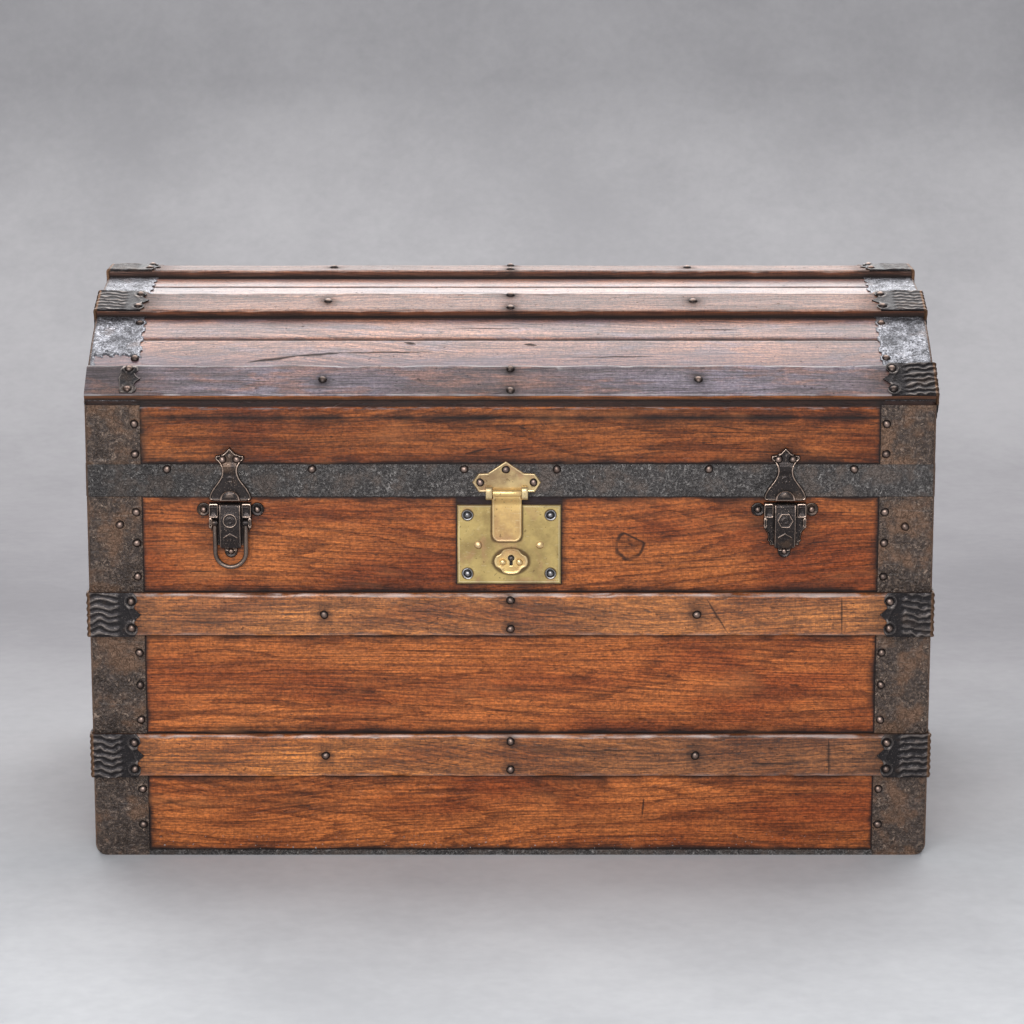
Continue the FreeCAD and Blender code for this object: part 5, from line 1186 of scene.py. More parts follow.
def clamp_sheet(slat_width, seed, drop):
    """One face of the clamp's sheet, drop below its outer face, in the seat of its slat's end.

    Columns run across: the middle ones lie on the slat, the outer ones fold down over its edges. Rows run
    from the pointed outline, round the corner with radius 2.6 mm, and down the end. x is measured out from
    the trunk's end face, z from the slat's seat.
    """
    rows, columns, folded = 70, 45, 6
    outer = slat_width / 2 + 1.0 * MM
    radius = 2.6 * MM - drop
    length, thick, tongue = 54.0 * MM, 1.3 * MM, 27.0 * MM
    middle = columns - 2 * folded
    share = np.concatenate([-np.ones(folded), np.linspace(-1, 1, middle), np.ones(folded)])
    fold = np.concatenate([np.linspace(1, 0, folded, endpoint=False), np.zeros(middle),
                           np.linspace(0, 1, folded + 1)[1:]])
    away = np.abs(share)
    outline = np.interp(away, [0.0, 0.14, 0.33, 0.45, 0.6, 0.8, 1.0],
                        [1.0, 0.93, 0.86, 0.88, 0.93, 0.92, 0.86])
    start = length * (1 - outline)
    face_z = SLAT_T + thick - drop
    wall_x = thick - drop
    straight = length + wall_x - radius
    around = radius * math.pi / 2
    total = straight + around + (face_z - radius + tongue)
    row = np.linspace(0, 1, rows)[:, None]
    s = start[None, :] + (total - start[None, :]) * row ** 0.95
    y = (outer - drop) * share[None, :] + 0 * s
    turn = np.clip((s - straight) / radius, 0, math.pi / 2)
    x = np.where(s < straight, s - length, wall_x - radius + radius * np.sin(turn))
    z = np.where(s < straight, face_z, face_z - radius + radius * np.cos(turn))
    z = np.where(turn >= math.pi / 2, face_z - radius - (s - straight - around), z)
    out_x, out_z = np.sin(turn), np.cos(turn)
    reach = s - length * 0.36
    ridged = smooth(0.0, 6 * MM, reach)
    sway = y + 0.9 * MM * np.sin(s / (3.9 * MM) + seed) + 1.5 * MM * np.sin(s / (9 * MM) + 2.0 * seed)
    sway = sway + 1.5 * MM * ripple(s, y, 0.011, int(100 + 10 * seed))
    ridges = np.abs(np.cos(math.pi * sway / (7.0 * MM))) ** 2.4
    relief = ridged * (1.1 * MM * ridges - 0.25 * MM)
    for side in (-1, 1):
        gap = np.hypot(x + NAIL_IN, y - side * NAIL_ASIDE)
        relief = relief + (1 - ridged) * 0.7 * MM * hill(gap - 6.4 * MM, 1.5 * MM)
    scroll = hill(x + NAIL_IN - 0.4 * y, 1.6 * MM) * smooth(12 * MM, 7 * MM, np.abs(y))
    relief = relief + (1 - ridged) * 0.6 * MM * scroll
    relief = relief * (1 - fold[None, :]) * (1 - 0.6 * smooth(0.93, 1.0, row))
    pressing = np.clip(relief / (0.9 * MM) + 0.3 * hill(s - start[None, :] - 1.0 * MM, 0.8 * MM), 0, 1)
    x = x + relief * out_x
    z = z + relief * out_z
    lip = 1.6 * MM
    x = x - fold * lip * out_x
    z = z - fold * lip * out_z
    return x, y, z, pressing + 0 * x


def clamp_shape(seat, slat_width, seed, side):
    """A clamp at the seat's end on that side: its points and faces, and how high each point stands."""
    faces, heights = [], []
    for drop in (0.0, 1.1 * MM):
        x, y, z, pressing = clamp_sheet(slat_width, seed, drop)
        faces.append(seat.put(side * (HALF_L + x), y, z))
        heights.append((pressing if drop == 0 else 0 * pressing).ravel())
    return shell(*faces), np.concatenate(heights)


def add_raised(name, made, material, body, nodes, sharp=50.0):
    """One piece from several shapes that each come with how high their points stand."""
    carried = [("pressing", np.concatenate([heights for shape, heights in made]))]
    add_piece(name, joined([shape for shape, heights in made]), material, body, nodes, carried, sharp)


clamps_front, clamps_back = [], []
for number, height in enumerate((LOW_SLAT_Z, HIGH_SLAT_Z)):
    for side in (-1, 1):
        clamps_front.append(clamp_shape(front_seat(height), SLAT_W, 1.0 + number + 2 * side, side))
        clamps_back.append(clamp_shape(back_seat(height), SLAT_W, 4.0 + number + 2 * side, side))
add_raised("reeded_clamps_front", clamps_front, castings, "trunk_body",
           ("slat_clamps_front",))
add_raised("reeded_clamps_back", clamps_back, castings, "trunk_body", ("slat_clamps_back",))


def remnant_shape(seat):
    """What is left of a broken clamp: rings from the slat up to a torn outline, then inward, 1.3 mm thick."""
    corners = np.array([(-8, -18.3), (5, -19.2), (8.5, -17), (9, -12), (6, -8), (8, -4), (12, 0), (8, 4),
                        (6, 8), (9.5, 12), (8.5, 17.5), (4, 19), (-6, 18.3), (-9, 14), (-8.4, 6), (-10, 1),
                        (-8.6, -8)]) * MM
    closed = np.concatenate([corners, corners[:1]])
    length = np.concatenate([[0], np.cumsum(np.hypot(*np.diff(closed, axis=0).T))])
    along = np.linspace(0, length[-1], 80, endpoint=False)
    edge = np.stack([np.interp(along, length, closed[:, k]) for k in (0, 1)], 1)
    share = np.array([1.0, 1.0, 0.97, 0.9, 0.8, 0.65, 0.5, 0.3, 0.1])[:, None]
    lift = np.array([-0.3, 0.9, 1.3, 1.45, 1.2, 1.2, 1.2, 1.2, 1.2])[:, None] * MM
    x = share * edge[:, 0]
    y = share * edge[:, 1]
    ring = 0.6 * MM * hill(np.hypot(x, np.abs(y) - NAIL_ASIDE) - 5.6 * MM, 1.3 * MM) * (share < 0.95)
    points, faces = tube(seat.put(x - (HALF_L - NAIL_IN), y, SLAT_T + lift + ring))
    raised = np.where((share > 0.85) & (share < 0.98), 0.8, 0.0) + ring / (0.8 * MM) + 0 * x
    return (points, faces), np.concatenate([raised.ravel(), [0, 0]])


clamps_dome = [remnant_shape(dome_seat(DOME_SLAT_TURNS[0]))]
for number, turn in enumerate(DOME_SLAT_TURNS):
    for side in (-1, 1):
        if (number, side) != (0, -1):
            clamps_dome.append(clamp_shape(dome_seat(turn), DOME_SLAT_W, 7.0 + number + 2 * side, side))
add_raised("reeded_clamps_dome", clamps_dome, castings, "lid", ("dome_slat_clamps",))

# %% [markdown]
# The ends of the dome are covered by thin pressed sheet. It lies over the staves, turns a corner and goes
# down the end. Its inner edge is toothed. The pressing is a pattern of leaves and scrolls, worn off on its
# highest parts, and the sheet is pressed flat where the slats cross it. On the left it has been torn.

# %% Dome edge irons
def edge_sheet(side, drop, seed):
    """One face of the sheet: rows run along the arc, columns from the toothed edge, over the corner and down.

    Along the arc the angle a goes from one foot of the dome to the other. On the dome a point is at radius R
    plus the sheet and its relief, and at x between the inner edge and the end; past the corner x stays and
    the radius falls.
    """
    rows = 440
    turn = np.linspace(-DOME_HALF, DOME_HALF, rows)[:, None]
    arc = DOME_R * turn
    thick, corner, flange = 1.0 * MM, 2.0 * MM, 38.0 * MM
    teeth = 2.4 * MM * smooth(-0.3, 0.3, np.sin(arc / (2.6 * MM) + ripple(arc, 0 * arc, 0.03, seed)))
    teeth = teeth + 0.9 * MM * ripple(arc, 0 * arc, 0.02, seed + 8)
    under_slat = 0.0
    for place in DOME_SLAT_TURNS:
        gap = np.abs(arc - DOME_R * place)
        under_slat = under_slat + smooth(DOME_SLAT_W / 2 + 2 * MM, DOME_SLAT_W / 2 - 1 * MM, gap)
    under_slat = np.clip(under_slat, 0, 1)
    width = EDGE_SHEET_W - teeth * (1 - under_slat) + 1.5 * MM
    radius = corner - drop
    flat = width - corner
    around = radius * math.pi / 2
    total = flat + around + flange - corner
    dome_part = np.linspace(0, 1, 56)[None, :] * flat
    bend_part = flat + np.array([0.25, 0.5, 0.75, 1.0])[None, :] * around
    down_part = flat + around + np.linspace(0, 1, 15)[None, 1:] * (flange - corner)
    s = np.concatenate([dome_part, bend_part, down_part], 1)
    bend = np.clip((s - flat) / radius, 0, math.pi / 2)
    over = HALF_L - width + np.minimum(s, flat) + radius * np.sin(bend)
    height = DOME_R + thick - drop - radius + radius * np.cos(bend)
    height = np.where(bend >= math.pi / 2, height - (s - flat - around), height)
    u, v = s + 0 * arc, arc + 0 * s
    scroll = np.sin(u / (3.1 * MM) + 1.5 * np.sin(v / (4.3 * MM)) + ripple(u, v, 0.03, seed + 1))
    scroll = scroll + np.sin(v / (2.9 * MM) + 1.4 * np.sin(u / (5.0 * MM)) + ripple(u, v, 0.025, seed + 2))
    outline = hill(scroll - 0.2, 0.30)
    leaf = smooth(0.2, 1.2, scroll)
    grain = 0.5 + 0.5 * ripple(u, v, 0.0035, seed + 3, 40)
    tone = 0.75 + 0.35 * ripple(u, v, 0.035, seed + 4)
    pressed = np.clip(0.36 * outline * tone + 0.26 * leaf + 0.52 * grain * tone, 0, 1.1)
    rim = hill(u - 1.8 * MM, 1.1 * MM) + 0.4 * hill(u - flat + 2 * MM, 1.4 * MM)
    field = smooth(2.5 * MM, 4 * MM, u) * smooth(flat - 1.5 * MM, flat - 4 * MM, u)
    relief = 0.8 * MM * pressed * field + 0.5 * MM * rim
    relief = relief * (1 - under_slat) * (bend < 0.1)
    down_relief = 0.5 * MM * pressed * (bend >= math.pi / 2) * (1 - (s / total) ** 8)
    height = height + relief
    over = over + down_relief
    if side < 0:
        ragged = 3.4 * MM * np.abs(np.sin(u / (3.2 * MM))) + 2.2 * MM * ripple(u, v, 0.012, 77)
        below = DOME_R * math.radians(-31.4) + ragged - arc
        inward = u + 2 * MM * ripple(u, v, 0.01, 78)
        torn = smooth(-0.5 * MM, 0.6 * MM, below) * smooth(flat - 2 * MM, flat - 6 * MM, inward)
        height = height - torn * (thick + relief + 0.5 * MM) * (1 - under_slat) * (bend < 0.1)
    x = side * over
    pressing = np.clip((relief + down_relief) / (0.85 * MM), 0, 1)
    return np.stack([x, height * np.sin(turn), DOME_Z + height * np.cos(turn)], -1), pressing


for side, node in ((-1, "dome_edge_iron_left"), (1, "dome_edge_iron_right")):
    outer, pressing = edge_sheet(side, 0.0, 3 + side)
    inner, hidden = edge_sheet(side, 0.9 * MM, 3 + side)
    carried = [("pressing", np.concatenate([pressing.ravel(), 0 * hidden.ravel()]))]
    add_piece(node.replace("dome_edge_iron", "pressed_edge_sheet"), shell(outer, inner), pressed_iron, "lid",
              (node,), carried, 60)

# %% [markdown]
# Six staves make the dome. They have shrunk a little since they were laid, so their edges have sunk at the
# joints. Each is a curved board: an outer and an inner grid of arcs.

# %% Dome staves
def stave_shape(start, end, seed):
    """Arcs at radius R less a groove at both edges, waved a little, and inside at R less the thickness."""
    x = np.linspace(-WOOD_L + 0.4 * MM, WOOD_L - 0.4 * MM, 160)[:, None]
    turn = np.linspace(start, end, 40)[None, :]
    arc = DOME_R * (turn - (start + end) / 2)
    half = DOME_R * (end - start) / 2
    edge = half - np.abs(arc)
    groove = 1.3 * MM * (1 - smooth(0.0, 2.2 * MM, edge + 0.5 * MM * ripple(x, arc, 0.02, seed)))
    wave = 0.12 * MM * ripple(x, arc, 0.09, seed + 1)
    radius = DOME_R - groove + np.minimum(wave, 0.05 * MM)
    grids = []
    for r in (radius, DOME_R - STAVE_T + 0 * radius):
        grids.append(np.stack(np.broadcast_arrays(x, r * np.sin(turn), DOME_Z + r * np.cos(turn)), -1))
    u, v = np.broadcast_arrays(x, arc)
    flat = np.stack([u + seed * 1.3, v + seed * 0.21, 0 * u], -1).reshape(-1, 3)
    grain = np.concatenate([flat, flat + np.array([0, 0, 0.02])])
    near = 1 - smooth(0.2 * MM, 3.0 * MM, edge)
    # Dirt and painted shade beside each dome slat; the darkening at the stave's own edges is its dark joints.
    for place in DOME_SLAT_TURNS:
        near = np.maximum(near, 1 - smooth(2.0 * MM, 6.0 * MM,
                                           np.abs(DOME_R * (turn - place)) - DOME_SLAT_W / 2))
    near = np.broadcast_to(near, u.shape)
    return shell(*grids), grain, np.concatenate([near.ravel(), 0 * near.ravel()])


stave_edges = [-DOME_HALF] + [math.radians(d) for d in (-27.1, -8.7, 0.0, 8.7, 27.1)] + [DOME_HALF]
stave_parts = [stave_shape(a, b, 3 + k) for k, (a, b) in enumerate(zip(stave_edges, stave_edges[1:]))]
stave_dark = np.concatenate([part[2] for part in stave_parts])
add_piece("dome_stave_boards", joined([part[0] for part in stave_parts]), dome_wood, "lid",
          ("dome_staves",), [("grain", np.concatenate([part[1] for part in stave_parts])),
                             ("wear_and_highlight", 0 * stave_dark), ("stain_and_shade", 0.92 * stave_dark)], 40.0)

# %% [markdown]
# There are some two hundred and sixty nails, rivets and screws. Each was set by hand, so no two heads are
# quite alike. The CAD nodes say where each one sits: its axis is the direction in which its points spread
# differently from the other two, and its widest ring is the rim of the head.

# %% Nail heads
def loose_parts(node):
    """The merged points of a CAD node and, for each point, the number of the separate solid that it is on."""
    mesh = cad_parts[node].data
    points = np.zeros(len(mesh.vertices) * 3, np.float64)
    mesh.vertices.foreach_get("co", points)
    points = points.reshape(-1, 3)
    corners = np.zeros(len(mesh.loops), np.int64)
    mesh.loops.foreach_get("vertex_index", corners)
    merged, same = np.unique(np.round(points, 6), axis=0, return_inverse=True)
    triangles = same.ravel()[corners].reshape(-1, 3)
    label = np.arange(len(merged))
    while True:
        lowest = label[triangles].min(1)
        before = label.copy()
        for k in range(3):
            np.minimum.at(label, triangles[:, k], lowest)
        label = label[label]
        if (label == before).all():
            return merged, label


def seats_of(node):
    """For each nail: the middle of its seat, the way out of the surface, its head's radius and height."""
    merged, label = loose_parts(node)
    found = []
    for number in np.unique(label):
        cloud = merged[label == number]
        middle = (cloud.min(0) + cloud.max(0)) / 2
        spread, directions = np.linalg.eigh(np.cov((cloud - cloud.mean(0)).T))
        axis = directions[:, 0] if spread[1] - spread[0] > spread[2] - spread[1] else directions[:, 2]
        height = (cloud - middle) @ axis
        radial = (cloud - middle) - np.outer(height, axis)
        centre = (radial.min(0) + radial.max(0)) / 2
        radius = np.linalg.norm(radial - centre, axis=1)
        if axis @ (middle - (0.0, 0.0, 0.25)) < 0:
            axis, height = -axis, -height
        rim = height[radius > radius.max() - 0.02 * MM].mean()
        found.append((middle + centre + axis * rim, axis, radius.max(), height.max() - rim))
    return found


HEADS = {"nail": ([1.0, 1.02, 0.80, 0.48, 0.16], [-0.25, 0.12, 0.55, 0.83, 1.0], [0, 0, 0.35, 0.8, 1.0]),
         "screw": ([1.0, 1.02, 0.94, 0.80, 0.68, 0.60, 0.36, 0.1],
                   [-0.2, 0.15, 0.42, 0.40, 0.12, 0.45, 0.85, 0.95], [0, 0.5, 1.2, 1.1, 0, 0.3, 0.5, 1.2]),}


def head_shape(seat, seed, kind, grown=1.0, least=0.0):
    """Rings from the rim to the crown: shares of the radius and height, bent by a few random facets."""
    middle, out, radius, height = seat
    radius, height = grown * radius, max(grown * height, least)
    rng = np.random.default_rng(seed)
    side = np.cross(out, (0.0, 0.0, 1.0) if abs(out[2]) < 0.9 else (1.0, 0.0, 0.0))
    side = side / np.linalg.norm(side)
    other = np.cross(out, side)
    around = np.linspace(0, 2 * math.pi, 14 if kind == "nail" else 24, endpoint=False) + rng.uniform(0, 1)
    facet = 1 + 0.05 * np.sin(around * 2 + rng.uniform(0, 6)) + 0.03 * np.sin(around * 3 + rng.uniform(0, 6))
    across, lift, raised = (np.array(part)[:, None] for part in HEADS[kind])
    lean = rng.uniform(-0.12, 0.12, 2)
    x = across * radius * facet * np.cos(around)
    y = across * radius * facet * np.sin(around)
    z = lift * height * (1 + 0.06 * rng.uniform(-1, 1)) + (lean[0] * x + lean[1] * y) * np.clip(lift, 0, 1)
    z = np.minimum(z, height * 1.05)
    rings = middle + x[..., None] * side + y[..., None] * other + z[..., None] * out
    heights = (raised * rng.uniform(0.7, 1.1) + 0 * x).ravel()
    return tube(rings), np.concatenate([heights, [0.0, heights[-1]]])


def nail_heads(node, material, body, kind="nail", grown=1.0, least=0.0):
    """All heads of one node as one piece."""
    seats = seats_of(node)
    heads = [head_shape(seat, 100 + k, kind, grown, least) for k, seat in enumerate(seats)]
    add_raised(node[:-1] + "_heads", heads, material, body, (node,))
    print(node, len(seats), "heads, radius and height", [round(part * 1000, 2) for part in seats[0][2:]])


for node, body in (("slat_nails", "trunk_body"), ("body_nails", "trunk_body"), ("lid_nails", "lid"),
                   ("dome_slat_nails", "lid")):
    nail_heads(node, nail_iron, body)
nail_heads("lock_screws", screw_iron, "trunk_body", "screw", least=2.6 * MM)
nail_heads("lock_rivets", hasp_brass, "trunk_body", grown=1.25)
nail_heads("catch_rivets", nail_iron, "trunk_body")
nail_heads("lid_hardware_rivets", nail_iron, "lid", grown=1.15)

# %% [markdown]
# The catches and the hasp are small castings with raised rims. A cast plate is a grid whose rows go up its
# outline and whose columns go across between its two sides. How high a point stands depends on its distance
# to the outline: it rises in a quarter circle at the edge, and a thin rim line follows the outline all round.

# %% Cast plates
def outline_gap(x, z, corners):
    """The distance from each point to the nearest side of a closed outline, one side after another."""
    nearest = np.full(np.broadcast(x, z).shape, 1.0)
    for (ax, az), (bx, bz) in zip(corners, corners[1:] + corners[:1]):
        run_x, run_z = bx - ax, bz - az
        share = np.clip(((x - ax) * run_x + (z - az) * run_z) / (run_x ** 2 + run_z ** 2 + 1e-12), 0, 1)
        nearest = np.minimum(nearest, np.hypot(x - ax - share * run_x, z - az - share * run_z))
    return nearest


def cast_plate(seat, right, thick, relief, bevel, left=None, base=None):
    """A plate between two sides given as (across, up) lists from its foot to its top, in mm.

    Without a left side, the right one is mirrored. relief(x, z, gap) gives the height above the thickness and
    how bright it is rubbed, with a painted sheen on the lever; base(z) lifts the whole plate off its seat,
    for one that bows.
    """
    rows, columns = 110, 61
    right = np.array(right, float) * MM
    left = right * (-1, 1) if left is None else np.array(left, float) * MM
    low, high = right[0, 1], right[-1, 1]
    z = np.linspace(low, high, rows)[:, None]
    share = np.linspace(0, 1, columns)[None, :]
    from_x = np.interp(z, left[:, 1], left[:, 0])
    to_x = np.interp(z, right[:, 1], right[:, 0])
    x = from_x + (to_x - from_x) * share
    z = z + 0 * x
    corners = [tuple(point) for point in right] + [tuple(point) for point in left[::-1]]
    gap = outline_gap(x, z, corners)
    inside = np.clip(gap / bevel, 0, 1)
    height, bright = relief(x, z, gap)
    face = thick - bevel * (1 - np.sqrt(1 - (1 - inside) ** 2)) + height * inside
    lift = 0 * z if base is None else base(z)
    shape = shell(seat.put(x, z, lift + face), seat.put(x, z, lift + 0 * x))
    return shape, np.concatenate([np.clip(bright, 0, 1).ravel(), 0 * bright.ravel()])


def rim_line(gap, at, width):
    """A thin raised line at a distance from the outline."""
    return hill(gap - at, width)


def boss(seat, edge, steps):
    """A raised form from one outline: rings of its points, each drawn in and lifted as steps say."""
    edge = np.array(edge, float)
    middle = edge.mean(0)
    share, lift, bright = (np.array(column, float)[:, None] for column in zip(*steps))
    x = middle[0] + share * (edge[:, 0] - middle[0])
    z = middle[1] + share * (edge[:, 1] - middle[1])
    points, faces = tube(seat.put(x, z, lift * MM + 0 * x))
    heights = (bright + 0 * x).ravel()
    return (points, faces), np.concatenate([heights, [0.0, heights[-1]]])


def circle_edge(x, z, radius, start=0.0, end=2 * math.pi, count=32):
    """Points of a circle, or of an arc with both of its ends."""
    turn = np.linspace(start, end, count, endpoint=end - start < 6)
    return np.stack([x + radius * np.cos(turn), z + radius * np.sin(turn)], 1)


def box_edge(x0, x1, z0, z1, radius):
    """A rectangle with round corners, eight points to each."""
    parts = []
    for cx, cz, start in ((x1, z1, 0), (x0, z1, 1), (x0, z0, 2), (x1, z0, 3)):
        turn = (start + np.linspace(0, 1, 8)) * math.pi / 2
        inner_x = cx - radius if cx == x1 else cx + radius
        inner_z = cz - radius if cz == z1 else cz + radius
        parts.append(np.stack([inner_x + radius * np.cos(turn), inner_z + radius * np.sin(turn)], 1))
    return np.concatenate(parts)


def even_bar(rings, height):
    """A closed bar whose points all stand equally high."""
    shape = tube(rings)
    return shape, np.full(len(shape[0]), height)


def rod(x0, x1, y, z, radius):
    """A round bar along X, its two ends slightly rounded."""
    soft = 0.4 * MM
    turn = np.linspace(0, 2 * math.pi, 24, endpoint=False)
    x = np.array([x0, x0 + 0.3 * soft, x0 + soft, x1 - soft, x1 - 0.3 * soft, x1])[:, None]
    r = radius - soft * np.array([1.0, 0.35, 0.0, 0.0, 0.35, 1.0])[:, None]
    return even_bar(np.stack(np.broadcast_arrays(x, y + r * np.cos(turn), z + r * np.sin(turn)), -1), 0.25)


def wire(path, across, radius):
    """A round wire along a flat path: rings in the plane of the path's own normal and the given direction."""
    path = np.array(path, float)
    along = np.gradient(path, axis=0)
    along = along / np.linalg.norm(along, axis=1, keepdims=True)
    across = np.array(across, float)
    sideways = np.cross(along, across)
    turn = np.linspace(0, 2 * math.pi, 14, endpoint=False)[:, None]
    return even_bar(path[:, None] + radius * (np.cos(turn) * sideways[:, None] + np.sin(turn) * across), 0.62)


print("cast plates ready")

# %% [markdown]
# A drawbolt catch has a bell-shaped plate on the lid with a half-round lug, and a base on the body with two
# ears, two cheeks and a lever between them. The left one also has a wire bail that would pull up over the
# lug. Their rims are rubbed to the colour of copper.

# %% Drawbolt catches
BELL = [(17.4, -3.2), (19.8, -2.7), (21.2, -1.4), (21.6, 0.4)]
BELL += [(8.2 + 6.6 * (1 + math.cos(math.pi * min(up / 27.0, 1.0))), up) for up in np.linspace(1.8, 29, 15)]
BELL += [(8.5, 31.2), (9.8, 34.4), (11.8, 37.0), (14.0, 38.7), (14.9, 41.2), (14.0, 43.7), (9.6, 44.3),
         (5.5, 46.1), (0.05, 51.9)]


def bell_relief(x, z, gap):
    """Rim line, a roll across the neck, a ring in the middle and a dimple near the point."""
    roll = 1.5 * MM * smooth(23 * MM, 29 * MM, z) * smooth(37 * MM, 32 * MM, z)
    ring = hill(np.hypot(x, z - 18.5 * MM) - 2.6 * MM, 0.8 * MM)
    dimple = hill(np.hypot(x, z - 45.5 * MM), 1.6 * MM)
    rim = rim_line(gap, 1.3 * MM, 0.85 * MM)
    height = 0.9 * MM * rim + roll + 0.5 * MM * ring - 0.6 * MM * dimple
    return height, rim + 0.3 * ring + 0.25 * roll / (1.5 * MM)


def catch_on_lid(x):
    """Bell plate and its half-round lug."""
    seat = front_seat(378.3 * MM, LID_FACE, x * MM)
    plate = cast_plate(seat, BELL, 2.0 * MM, bell_relief, 0.7 * MM)
    edge = np.concatenate([circle_edge(0, -2.4 * MM, 10.4 * MM, 0.0, math.pi, 33)[:33], [[0.0, -2.4 * MM]]])
    lug = boss(seat, edge, [(1, 0, 0), (1, 6.2, 0.2), (0.97, 6.9, 1), (0.90, 7.3, 1), (0.82, 6.9, 0.9),
                            (0.74, 6.4, 0.1), (0.5, 6.7, 0.45), (0.3, 7.1, 0.6), (0.1, 7.2, 0.6)])
    return [plate, lug]


def base_relief(x, z, gap):
    """A rim line."""
    rim = rim_line(gap, 1.1 * MM, 0.55 * MM)
    return 0.6 * MM * rim, 0.8 * rim


def catch_base(x):
    """Plate with a scalloped foot, ears, tab, cheeks with framed faces, and bands under them."""
    seat = front_seat(0.0, FRONT_Y, x * MM)
    right = [(6.6, 322.5), (6.8, 326.4), (9.0, 328.4), (15.4, 328.9), (15.0, 331.5), (17.4, 333.5),
             (16.6, 337.5), (17.6, 341.5), (20.6, 346.0), (21.3, 349.0), (21.3, 373.3)]
    made = [cast_plate(seat, right, 2.0 * MM, base_relief, 0.6 * MM)]
    domed = [(1, 0, 0), (1, 1.3, 0.1), (0.94, 1.9, 0.42), (0.84, 2.1, 0.5), (0.74, 1.7, 0.1), (0.3, 1.6, 0),
             (0.1, 1.6, 0)]
    made.append(boss(seat, circle_edge(0, 322.5 * MM, 6.6 * MM), domed))
    for side in (-1, 1):
        made.append(boss(seat, circle_edge(side * 27.2 * MM, 366.0 * MM, 7.0 * MM), domed))
        x0, x1 = sorted((side * 11.9 * MM, side * 21.3 * MM))
        frame_steps = [(1, 0, 0), (1, 8.6, 0.3), (0.95, 9.3, 0.9), (0.87, 9.5, 1), (0.76, 9.1, 0.4),
                       (0.6, 8.4, 0), (0.1, 8.3, 0)]
        made.append(boss(seat, box_edge(x0, x1, 358.6 * MM, 373.3 * MM, 1.6 * MM), frame_steps))
        x0, x1 = sorted((side * 18.7 * MM, side * 21.3 * MM))
        low_steps = [(1, 0, 0), (1, 8.1, 0.3), (0.9, 8.6, 0.9), (0.6, 8.7, 0.6), (0.1, 8.7, 0.3)]
        made.append(boss(seat, box_edge(x0, x1, 347.6 * MM, 358.8 * MM, 1.0 * MM), low_steps))
        for height, reach in ((356.5, 8.2), (350.5, 8.2)):
            x0, x1 = sorted((side * 18.0 * MM, side * 21.7 * MM))
            band = [(1, 0, 0), (1, reach, 0.5), (0.8, reach + 0.5, 1), (0.1, reach + 0.5, 0.8)]
            made.append(boss(seat, box_edge(x0, x1, (height - 1.0) * MM, (height + 1.0) * MM,
                                            0.8 * MM), band))
    return made


def lever_shape(x, six_sided):
    """The lever bows out below its barrel and comes in at its foot. A ring or hexagon and a chevron on it,
    and a painted sheen on its upper part.
    """
    axis_z = 369.2 * MM
    seat = front_seat(axis_z, FRONT_Y, x * MM)
    right = [(8.0, -42.8), (10.4, -41.6), (11.2, -38.5), (11.2, 3.0)]

    def bow(z):
        """How far the plate's back stands off the boards at each height."""
        down = np.array([-42.8, -34.0, -22.0, -12.0, 0.0, 3.0]) * MM
        face = np.array([7.5, 9.9, 12.5, 12.7, 11.5, 11.1]) * MM
        return np.interp(z, down, face) - 2.6 * MM

    def relief(x, z, gap):
        round_gap = np.hypot(x, z + 13.0 * MM)
        angle = np.arctan2(x, z + 13.0 * MM)
        sector = np.abs((angle + math.pi / 6) % (math.pi / 3) - math.pi / 6)
        reach = round_gap * np.cos(sector) if six_sided else round_gap
        ring = hill(reach - 6.6 * MM, 0.8 * MM) + 0.7 * hill(reach - 2.6 * MM, 0.8 * MM)
        chevron = hill(z + 26.5 * MM + 0.62 * np.abs(x), 0.8 * MM) * smooth(8 * MM, 7 * MM, np.abs(x))
        scroll = 0.5 * hill(np.hypot(x, z + 31.0 * MM) - 2.2 * MM, 0.7 * MM)
        side_line = hill(np.abs(x) - 9.9 * MM, 0.5 * MM)
        mark = ring + chevron + scroll
        # Painted highlight: the lever's upper part is brightened.
        painted_sheen = 0.35 * smooth(-7 * MM, 1 * MM, z)
        return 0.7 * MM * mark + 0.35 * MM * side_line, 0.85 * mark + 0.8 * side_line + painted_sheen

    plate = cast_plate(seat, right, 2.6 * MM, relief, 0.8 * MM, base=bow)
    barrel = rod((x - 11.2) * MM, (x + 11.2) * MM, FRONT_Y - 7.0 * MM, axis_z, 4.5 * MM)
    return [plate, barrel]


for side, place in CATCHES:
    add_raised("bell_plate_" + side, catch_on_lid(place), catch_iron, "lid",
               ("catch_plate_" + side,), 40)
    add_raised("cast_base_" + side, catch_base(place), catch_iron, "trunk_body",
               ("catch_base_" + side,), 40)
    add_raised("pressed_lever_" + side, lever_shape(place, side == "right"), catch_iron,
               "catch_lever_" + side, ("catch_lever_" + side,), 40)

bail_x, bail_y, bail_r = CATCHES[0][1] * MM, AXLE_Y, 15.6
legs = np.linspace(353, 324.5, 12)
bow_path = [(bail_x + bail_r * MM, bail_y, height * MM) for height in legs]
bow_path += [(bail_x + bail_r * MM * math.cos(t), bail_y, (322.9 - bail_r * math.sin(t)) * MM)
             for t in np.linspace(0, math.pi, 40)]
bow_path += [(bail_x - bail_r * MM, bail_y, height * MM) for height in legs[::-1]]
bail = [wire(bow_path, (0, 1, 0), 2.4 * MM)]
for side in (-1, 1):
    inner, outer = sorted((bail_x + side * 12.9 * MM, bail_x + side * 18.3 * MM))
    bail.append(rod(inner, outer, bail_y, 353.0 * MM, 3.8 * MM))
add_raised("wire_bail", bail, catch_iron, "catch_bail_left", ("catch_bail_left",), 45)

# %% [markdown]
# The brass hasp hangs from two lugs on a six-sided plate. Its leaf and the plates are castings too, with
# softly rounded edges; the scalloped keyhole plate is worked out in rings, from the keyhole's outline to its
# own.

